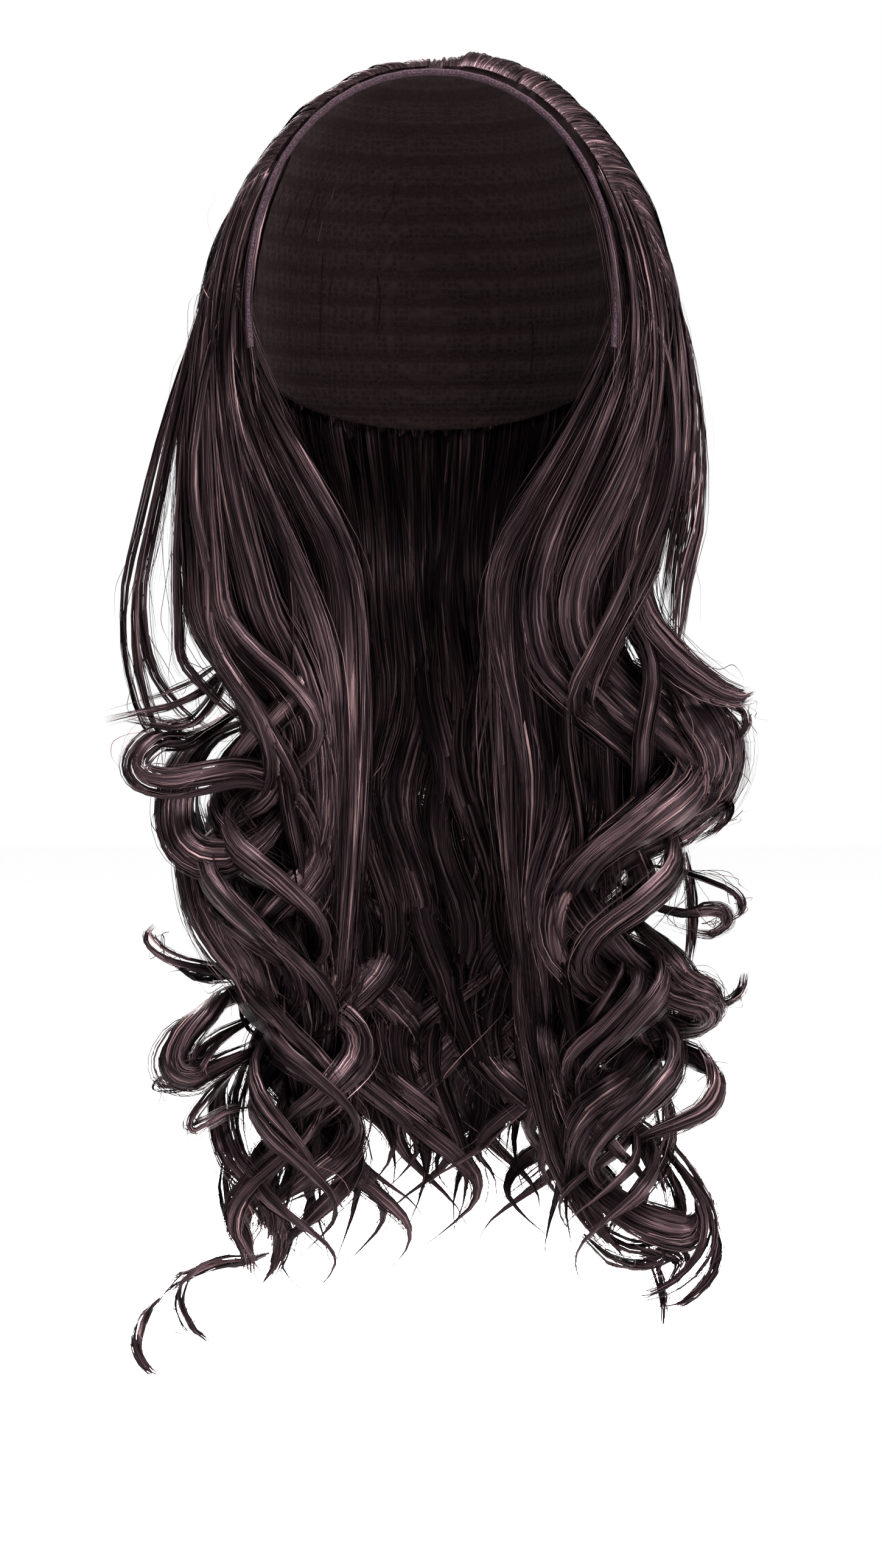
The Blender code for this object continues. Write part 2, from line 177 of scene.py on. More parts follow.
def crown_thickness(direction):
    """The depth of hair over the cap: thin at the parting, fuller towards the sides."""
    polar = np.arccos(np.clip(direction[..., 2], -1, 1))
    azimuth = np.arctan2(direction[..., 1], direction[..., 0])
    beside = ease((direction[..., 0] * HEAD_HALF[2] - PARTING_X) / PARTING_WIDTH + 0.5)
    top = TOP_HAIR_LEFT + (TOP_HAIR_RIGHT - TOP_HAIR_LEFT) * beside
    side = np.where(direction[..., 0] > 0, SIDE_HAIR_RIGHT, SIDE_HAIR_LEFT)
    growth = np.where(direction[..., 0] > 0, GROWTH_RIGHT, GROWTH_LEFT)
    rearward = np.maximum(np.sin(azimuth), 0.0) ** 2
    low = side * (1 - rearward) + BACK_HAIR * rearward
    return top + (low - top) * np.minimum(polar / (math.pi / 2), MOST_GROWTH) ** growth


def crown_point(direction, lift):
    """A point in the crown hair: lift 0 is on the cap and 1 on the outside."""
    reach = head_radius(direction) + CAP_WALL + crown_thickness(direction) * lift
    return HEAD_CENTRE + direction * reach[..., None]


def root_arch(azimuth):
    """The angle of the root along the front edge, for hair that ends up at an azimuth."""
    rearward = 1 - np.abs(1 - np.asarray(azimuth) / (math.pi / 2))
    way = np.where(np.asarray(azimuth) < math.pi / 2, 1, -1)
    return way * LAST_ROOT * (1 - rearward) ** CROWDING


def great_circle(start, end, share):
    angle = np.arccos(np.clip(np.sum(start * end, axis=-1), -1, 1))[..., None]
    return unit(np.sin((1 - share) * angle) * start + np.sin(share * angle) * end)


def comb_back(target, begin=0.0):
    """A route over the crown, from under the hair at the front edge to a point beside it.

    begin is the share of the way where the route comes in, still under the hair on top.
    """
    end = target - HEAD_CENTRE
    end_reach = np.linalg.norm(end)
    end = end / end_reach
    bare = head_radius(end) + CAP_WALL
    lift = np.clip((end_reach - bare) / crown_thickness(end), 0.06, MOST_LIFT)
    arch = float(root_arch(math.atan2(max(end[1], 0.0), end[0])))
    start = unit(np.array([math.sin(arch), RANDOM.uniform(0.04, 0.10), math.cos(arch)]))
    angle = math.acos(float(np.clip(start @ end, -1, 1)))
    share = np.linspace(begin, 1, max(int(angle * (1 - begin) / 0.09), 4))[:-1, None]
    risen = min(RISE_ANGLE, 0.9 * (1 - begin) * angle)
    rise = ROOT_LIFT + (lift - ROOT_LIFT) * ease((share[:, 0] - begin) * angle / risen)
    over = crown_point(great_circle(start, end, share), rise)
    settle = 1 + (end_reach / (bare + crown_thickness(end) * lift) - 1) * share ** 1.5
    return HEAD_CENTRE + (over - HEAD_CENTRE) * settle


# Routes of hair


def run_along(points):
    """How far along its row each point lies."""
    steps = np.linalg.norm(np.diff(points, axis=-2), axis=-1)
    start = np.zeros((*steps.shape[:-1], 1))
    return np.concatenate([start, np.cumsum(steps, axis=-1)], axis=-1)


def smooth_route(points, bend=BEND_STEP):
    """A smooth curve through the points, with its own points closer together where it bends."""
    points = np.asarray(points, float)
    ends = np.vstack([2 * points[0] - points[1], points, 2 * points[-1] - points[-2]])
    pieces = []
    fine = np.linspace(0, 1, 12, endpoint=False)[:, None]
    for a, b, c, d in zip(ends, ends[1:], ends[2:], ends[3:]):
        pieces.append(
            0.5
            * (
                2 * b
                + (c - a) * fine
                + (2 * a - 5 * b + 4 * c - d) * fine**2
                + (3 * b - a - 3 * c + d) * fine**3
            )
        )
    curve = np.vstack([*pieces, points[-1:]])
    steps = np.diff(curve, axis=0)
    lengths = np.linalg.norm(steps, axis=1)
    ways = unit(steps)
    turns = np.arccos(np.clip(np.sum(ways[:-1] * ways[1:], axis=1), -1, 1))
    need = lengths / STRAIGHT_STEP + np.append(turns, 0) / bend
    reach = np.concatenate([[0], np.cumsum(need)])
    count = max(int(round(reach[-1])) + 1, 6)
    places = np.linspace(0, reach[-1], count)
    return np.stack([np.interp(places, reach, curve[:, k]) for k in range(3)], axis=1)


def join_softly(over, down):
    """Two runs of points as one, with the kink where they meet worn away."""
    points = np.vstack([over, down])
    meet = len(over)
    for _ in range(5):
        for i in range(max(meet - 4, 1), min(meet + 4, len(points) - 1)):
            points[i] = (points[i - 1] + 2 * points[i] + points[i + 1]) / 4
    return points


def frames_along(route, facing):
    """Side and normal vectors along a route, which turn smoothly and lean towards facing."""
    tangents = unit(np.gradient(route, axis=0))
    normals = np.zeros_like(route)
    normal = facing[0]
    for i, tangent in enumerate(tangents):
        wish = facing[i] - tangent * (facing[i] @ tangent)
        strength = np.linalg.norm(wish)
        normal = normal - tangent * (normal @ tangent)
        normal = normal / max(np.linalg.norm(normal), 1e-9)
        if strength > 0.25 and wish @ normal > -0.2 * strength:
            normal = normal + wish / strength * 0.35
            normal = normal / np.linalg.norm(normal)
        normals[i] = normal
    return np.cross(tangents, normals), normals


# Meshes of locks and strands


def add_object(name, data):
    made = bpy.data.objects.new(name, data)
    bpy.context.scene.collection.objects.link(made)
    return made


class HairMesh:
    """Locks and strands gathered into one mesh, with u across each of them and v along it."""

    def __init__(self):
        self.points = []
        self.quads = []
        self.quad_uvs = []
        self.caps = []
        self.cap_uvs = []
        self.count = 0

    def keep(self, points, quads, u_low, u_high, along):
        v_low, v_high = along
        u = np.stack([u_low, u_high, u_high, u_low], axis=-1)
        v = np.stack([v_low, v_low, v_high, v_high], axis=-1)
        self.points.append(points.reshape(-1, 3))
        self.quads.append(quads.reshape(-1, 4))
        self.quad_uvs.append(np.stack([u, v], axis=-1).reshape(-1, 2))
        self.count += points.size // 3

    def add_core(self, route, side, normal, widths, thicks, streaks, shift):
        """One closed tube, with its first and last rings capped."""
        rings = len(route)
        points = (
            route[:, None]
            + side[:, None] * (widths[:, None] / 2 * CORE_PROFILE[:, 0])[..., None]
            + normal[:, None] * (thicks[:, None] / 2 * CORE_PROFILE[:, 1])[..., None]
        )
        index = self.count + np.arange(rings * CORE_SIDES).reshape(rings, CORE_SIDES)
        after = np.roll(index, -1, axis=1)
        quads = np.stack([index[:-1], after[:-1], after[1:], index[1:]], axis=-1)
        turn = np.arange(CORE_SIDES + 1) / CORE_SIDES * streaks + shift
        along = run_along(route) / STREAK_UNIT
        u_low, u_high, v_low, v_high = np.broadcast_arrays(
            turn[:-1], turn[1:], along[:-1, None], along[1:, None]
        )
        self.keep(points, quads, u_low, u_high, (v_low, v_high))
        for ring, order in ((0, -1), (rings - 1, 1)):
            self.caps.append(index[ring, ::order])
            self.cap_uvs.append(np.tile([shift, along[ring]], (CORE_SIDES, 1)))

    def add_strips(self, centres, across, widths, shift):
        """Flat strands: centres and across are (strips, rings, 3), widths is (strips, rings)."""
        strips, rings, _ = centres.shape
        half = across * (widths[:, :, None] / 2)
        points = np.stack([centres - half, centres + half], axis=2)
        index = self.count + np.arange(strips * rings * 2).reshape(strips, rings, 2)
        quads = np.stack(
            [index[:, :-1, 0], index[:, :-1, 1], index[:, 1:, 1], index[:, 1:, 0]], axis=-1
        )
        along = run_along(centres) / STREAK_UNIT
        u_low = np.broadcast_to(shift[:, None], (strips, rings - 1))
        self.keep(points, quads, u_low, u_low + STRAND_STREAKS, (along[:, :-1], along[:, 1:]))

    def build(self, name):
        points = np.vstack(self.points)
        quads = np.vstack(self.quads)
        loops = np.concatenate([quads.ravel(), *self.caps])
        sizes = np.array([4] * len(quads) + [len(cap) for cap in self.caps])
        starts = np.concatenate([[0], np.cumsum(sizes)[:-1]])
        uvs = np.vstack([*self.quad_uvs, *self.cap_uvs])
        mesh = bpy.data.meshes.new(name)
        mesh.vertices.add(len(points))
        mesh.vertices.foreach_set("co", points.astype(np.float32).ravel())
        mesh.loops.add(len(loops))
        mesh.loops.foreach_set("vertex_index", loops.astype(np.int32))
        mesh.polygons.add(len(sizes))
        mesh.polygons.foreach_set("loop_start", starts.astype(np.int32))
        layer = mesh.uv_layers.new(name="strands")
        layer.uv.foreach_set("vector", uvs.astype(np.float32).ravel())
        mesh.update(calc_edges=True)
        mesh.shade_smooth()
        mesh.validate()
        return add_object(name, mesh)


def ring_profile(sides, ripple):
    """Points round a unit circle, pushed in and out in turn so that a bundle looks combed."""
    turns = np.arange(sides) / sides * math.tau
    reach = 1 + ripple * np.cos(np.arange(sides) * math.pi)
    return np.stack([np.cos(turns) * reach, np.sin(turns) * reach], axis=1)


CORE_PROFILE = ring_profile(CORE_SIDES, CORE_RIPPLE)

# root and tip are a lock's shares of its width at its two ends, frizz is how far its strands
# wander in shares of its width, and start is 0 where its core comes in slowly
Look = namedtuple("Look", "width thick strands root tip frizz strays start", defaults=(6, 1))


def wander(count, turns, place):
    """Smooth random waves along each of a number of strands, sideways and outwards."""
    waves = RANDOM.uniform(0.5, 1.4, (2, count, 1)) * turns
    phase = RANDOM.uniform(0, math.tau, (2, count, 1))
    return np.sin(waves * place * math.tau / 2 + phase)


def add_lock(mesh, route, facing, look, core=True):
    """A lock: a rippled core with loose strands on it, which thin out towards the tip."""
    side, normal = frames_along(route, facing)
    rings = len(route)
    place = np.linspace(0, 1, rings)
    spread = look.root + (1 - look.root) * ease(place / FULL_WIDTH_AT)
    narrowing = ease((place - NARROWS_FROM) / (1 - NARROWS_FROM))
    spread = spread * (1 - (1 - look.tip) * narrowing)
    shift = RANDOM.uniform(0, 400)
    if core:
        thin = 1 - ease((place - CORE_THINS_FROM) / (1 - CORE_THINS_FROM)) * 0.96
        start = np.minimum(1, 0.05 + place / (0.03 if look.start else 0.15))
        size = spread * thin * start * CORE_SHARE
        streaks = look.width * 2.2 / STREAK_UNIT
        mesh.add_core(route, side, normal, size * look.width, size * look.thick, streaks, shift)
    clumps = max(look.strands // CLUMP, 1)
    count = clumps * CLUMP
    turn = np.repeat(RANDOM.uniform(0, math.tau, clumps), CLUMP)
    turn = turn + RANDOM.normal(0, 0.12, count)
    reach = np.repeat(np.sqrt(RANDOM.uniform(0.55, 1.25, clumps)), CLUMP)
    reach = reach + RANDOM.normal(0, 0.04, count)
    loose = RANDOM.random(count) < LOOSE_SHARE
    reach = np.where(loose, RANDOM.uniform(1.0, 1.55, count), reach)
    twist = RANDOM.uniform(-0.7, 0.7) + np.repeat(RANDOM.normal(0, 0.20, clumps), CLUMP)
    angle = turn[:, None] + twist[:, None] * place * math.tau * 0.6
    cos, sin = np.cos(angle), np.sin(angle)
    turns = 0.5 + run_along(route)[-1] * 5
    drift = wander(clumps, turns, place).repeat(CLUMP, axis=1) * look.frizz * look.width
    drift = drift + wander(count, turns * 1.6, place) * 0.0008
    drift = drift * (0.15 + place)
    aside = cos * reach[:, None] * spread * look.width / 2 + drift[0]
    above = sin * reach[:, None] * spread * look.thick / 2 + drift[1] * 0.6
    centres = route + side * aside[..., None] + normal * above[..., None]
    outward = unit(side * (cos * look.thick)[..., None] + normal * (sin * look.width)[..., None])
    across = np.cross(unit(np.gradient(centres, axis=1)), outward)
    widths = STRAND_WIDTH * RANDOM.uniform(0.5, 1.4, (count, 1))
    widths = np.where(loose[:, None], LOOSE_WIDTH, widths)
    end = RANDOM.uniform(0.80, 1.0, (count, 1))
    widths = widths * np.clip((end - place) / 0.14, 0.0, 1.0)
    widths = widths * np.clip(0.35 + place / 0.04, 0.35, 1.0)
    mesh.add_strips(centres, across, widths, shift + RANDOM.uniform(0, 60, count))
    add_strays(mesh, route, side, normal, look)


def add_strays(mesh, route, side, normal, look):
    """Single hairs that leave a lock for a stretch and stand off its surface."""
    rings = len(route)
    for _ in range(look.strays):
        length = max(int(rings * RANDOM.uniform(0.2, 0.5)), 4)
        first = RANDOM.integers(0, rings - length)
        part = slice(first, first + length)
        place = np.linspace(0, 1, length)
        reach = 0.42 * look.width + 0.005 * ease(place * 1.5) * RANDOM.uniform(0.3, 1.2)
        turn = RANDOM.uniform(0, math.tau) + RANDOM.uniform(-1.2, 1.2) * place
        bow = wander(1, 2.0, place)[:, 0, :] * 0.003
        centre = (
            route[part]
            + side[part] * (np.cos(turn) * reach + bow[0])[:, None]
            + normal[part] * (np.sin(turn) * reach * 0.6 + bow[1])[:, None]
        )
        centre = smooth_route(centre, 0.2)
        across, _ = frames_along(centre, np.broadcast_to(normal[first], centre.shape))
        widths = STRAY_WIDTH * np.clip((1.05 - np.linspace(0, 1, len(centre))) / 0.3, 0.2, 1)
        mesh.add_strips(centre[None], across[None], widths[None], RANDOM.uniform(0, 400, 1))


# Ribbons of hair that show in the photograph, followed one by one. Each point is a pixel across, a
# pixel down, and a depth in millimetres behind the front of the head. A combed ribbon starts at
# the front edge, and its first point is where it leaves the crown. width is in millimetres.
Ribbon = namedtuple("Ribbon", "name width points combed", defaults=(False,))
LEFT_RIBBONS = (
    Ribbon("edge_fall_a", 10, ((512, 190, 2), (466, 262, -9), (432, 345, -4), (411, 440, -1),
        (402, 540, 0), (408, 640, 4), (430, 720, 8), (465, 790, 13), (500, 860, 18))),
    Ribbon("edge_fall_b", 11, ((484, 205, 2), (436, 290, -11), (401, 380, -6), (380, 480, -2),
        (371, 580, 0), (375, 680, 4), (396, 760, 7), (430, 840, 10), (455, 910, 14))),
    Ribbon("edge_fall_c", 10, ((462, 220, 6), (412, 310, -6), (374, 410, 0), (352, 510, 4),
        (342, 610, 6), (341, 710, 8), (350, 800, 10), (366, 880, 12), (380, 950, 14))),
    Ribbon("sweep_outer", 22, ((318, 600, 14), (312, 702, 10), (308, 845, 8), (316, 932, 7),
        (344, 1008, 8), (396, 1090, 10), (477, 1161, 14), (512, 1253, 20), (522, 1324, 26),
        (525, 1400, 34), (500, 1460, 38), (455, 1500, 36), (400, 1497, 28)), True),
    Ribbon("sweep_middle", 22, ((345, 600, 12), (346, 728, 9), (352, 830, 6), (380, 916, 6),
        (425, 1008, 8), (468, 1085, 10), (503, 1180, 14), (522, 1290, 20), (523, 1380, 24),
        (500, 1440, 30)), True),
    Ribbon("sweep_inner", 20, ((355, 600, 14), (375, 700, 12), (410, 800, 9), (450, 880, 8),
        (490, 980, 10), (518, 1080, 14), (530, 1200, 20), (535, 1320, 26), (532, 1450, 30),
        (520, 1560, 32)), True),
    Ribbon("near_neck", 20, ((385, 600, 22), (410, 680, 20), (450, 753, 20), (490, 819, 20),
        (535, 900, 22), (556, 980, 24), (562, 1100, 26), (565, 1250, 28), (563, 1400, 30),
        (555, 1550, 32), (548, 1650, 34), (535, 1760, 34)), True),
    Ribbon("beside_face", 20, ((404, 560, 28), (408, 620, 30), (432, 690, 30), (476, 765, 30),
        (522, 840, 32), (556, 920, 34), (571, 1000, 36), (577, 1150, 38), (578, 1300, 38),
        (574, 1450, 40), (562, 1600, 42), (548, 1750, 42)), True),
    Ribbon("outer_thin_low", 8, ((300, 600, 16), (285, 680, 14), (252, 770, 10), (226, 870, 8),
        (216, 967, 8), (216, 1059, 8), (228, 1130, 10), (250, 1190, 12), (288, 1225, 14),
        (335, 1240, 16)), True),
    Ribbon("outer_thin_middle", 6, ((305, 620, 16), (288, 700, 14), (262, 790, 12), (242, 886, 10),
        (234, 967, 10), (238, 1050, 10), (256, 1110, 12), (290, 1160, 14), (330, 1195, 18),
        (380, 1215, 24)), True),
    Ribbon("outer_thin_high", 5, ((306, 700, 14), (286, 850, 12), (275, 960, 10), (278, 1034, 8),
        (296, 1085, 8), (333, 1132, 10), (375, 1170, 14), (420, 1200, 20), (455, 1240, 28)), True),
    Ribbon("spike_high", 9, ((440, 1040, 30), (406, 1075, 24), (360, 1100, 18), (324, 1131, 14),
        (273, 1155, 10), (222, 1168, 8), (171, 1182, 6))),
    Ribbon("spike_low", 7, ((400, 1040, 30), (376, 1100, 24), (350, 1150, 18), (318, 1185, 14),
        (280, 1192, 10), (240, 1184, 8), (205, 1176, 8))),
    Ribbon("loop_top", 11, ((440, 1130, 40), (400, 1160, 32), (350, 1195, 24), (308, 1215, 16),
        (260, 1212, 10), (230, 1236, 4), (223, 1262, 2), (243, 1281, 0), (288, 1287, 0),
        (342, 1276, 4), (400, 1268, 6), (460, 1284, 8), (503, 1324, 12), (523, 1380, 18),
        (520, 1450, 24))),
    Ribbon("middle_arc", 8, ((375, 1060, 20), (430, 1110, 12), (462, 1180, 8), (466, 1250, 6),
        (440, 1310, 8), (390, 1340, 14), (330, 1350, 20))),
    Ribbon("low_wrap", 17, ((400, 1190, 44), (340, 1215, 36), (303, 1260, 26), (288, 1325, 16),
        (298, 1380, 8), (338, 1408, 2), (390, 1405, 0), (436, 1375, 2), (470, 1330, 6),
        (490, 1290, 12))),
    Ribbon("wide_outer", 21, ((316, 1300, 34), (312, 1360, 24), (321, 1420, 16), (336, 1490, 10),
        (366, 1545, 8), (406, 1590, 8), (430, 1640, 10), (462, 1690, 16), (475, 1740, 24))),
    Ribbon("wide_inner", 18, ((380, 1380, 26), (400, 1440, 18), (428, 1500, 12), (458, 1570, 10),
        (480, 1630, 12), (490, 1690, 18), (480, 1750, 26), (450, 1800, 34))),
    Ribbon("inner_run", 16, ((470, 1400, 30), (490, 1480, 24), (510, 1560, 20), (520, 1640, 20),
        (520, 1720, 22), (508, 1800, 24), (488, 1870, 24), (460, 1920, 22))),
    Ribbon("small_curl", 5, ((420, 1590, 24), (390, 1594, 18), (330, 1588, 12), (281, 1574, 6),
        (251, 1553, 4), (244, 1533, 4), (256, 1518, 6))),
    Ribbon("small_curl_low", 5, ((410, 1600, 26), (350, 1606, 18), (315, 1600, 12),
        (285, 1580, 8))),
    Ribbon("big_loop", 16, ((440, 1600, 30), (414, 1625, 22), (367, 1640, 14), (338, 1668, 6),
        (303, 1700, 0), (284, 1738, -4), (292, 1762, -4), (320, 1770, 0), (345, 1757, 6),
        (402, 1732, 14), (449, 1706, 22), (490, 1685, 30))),
    Ribbon("big_loop_inner", 9, ((455, 1660, 26), (400, 1680, 16), (350, 1710, 8), (324, 1745, 2),
        (314, 1765, 2), (344, 1762, 8), (390, 1738, 16), (440, 1710, 24))),
    Ribbon("thin_loop_high", 3.5, ((285, 1760, 4), (262, 1772, 2), (258, 1786, 2), (296, 1789, 4),
        (343, 1773, 8), (390, 1752, 14), (430, 1720, 20))),
    Ribbon("thin_loop_low", 5, ((400, 1735, 14), (378, 1762, 10), (343, 1797, 4), (313, 1838, 0),
        (318, 1853, 0), (345, 1842, 4), (378, 1826, 8), (431, 1820, 14), (470, 1818, 20))),
    Ribbon("long_turn", 9, ((545, 1650, 20), (540, 1740, 16), (519, 1815, 12), (496, 1861, 10),
        (452, 1903, 8), (412, 1938, 6), (384, 1979, 6), (381, 2020, 8), (398, 2055, 10),
        (420, 2090, 14), (434, 2120, 18))),
    Ribbon("tail_outer", 10, ((395, 1740, 28), (362, 1790, 20), (360, 1850, 12), (378, 1905, 8),
        (410, 1945, 8), (440, 1985, 12), (448, 2030, 18), (430, 2070, 24))),
    Ribbon("tail_middle", 7, ((375, 1880, 20), (370, 1940, 14), (382, 1995, 10), (402, 2040, 12),
        (410, 2090, 16), (425, 2130, 20))),
    Ribbon("tail_inner", 12, ((470, 1780, 34), (455, 1850, 30), (440, 1920, 28), (440, 1980, 30),
        (462, 2030, 34), (450, 2080, 38), (430, 2110, 40))),
    Ribbon("tail_back", 14, ((500, 1560, 40), (500, 1660, 38), (490, 1760, 36), (470, 1850, 34),
        (430, 1920, 30), (400, 1980, 28), (400, 2030, 28), (425, 2075, 32))),
    Ribbon("tail_wave", 8, ((440, 1690, 40), (404, 1760, 36), (386, 1830, 32), (396, 1900, 28),
        (424, 1955, 26), (430, 2005, 28), (405, 2050, 32))),
    Ribbon("tail_neck", 12, ((530, 1640, 44), (525, 1740, 42), (510, 1830, 40), (490, 1900, 40),
        (465, 1960, 40), (445, 2010, 42))),
    Ribbon("foot_high", 7, ((440, 2060, 24), (402, 2073, 18), (355, 2076, 12), (308, 2094, 8),
        (275, 2120, 6), (249, 2158, 6))),
    Ribbon("foot_middle", 5, ((330, 2080, 26), (303, 2105, 20), (295, 2140, 14), (310, 2175, 12),
        (337, 2199, 14), (365, 2212, 18))),
    Ribbon("foot_low", 5, ((262, 2135, 8), (240, 2158, 6), (226, 2190, 6), (225, 2222, 6),
        (243, 2253, 8), (273, 2267, 10))),
)
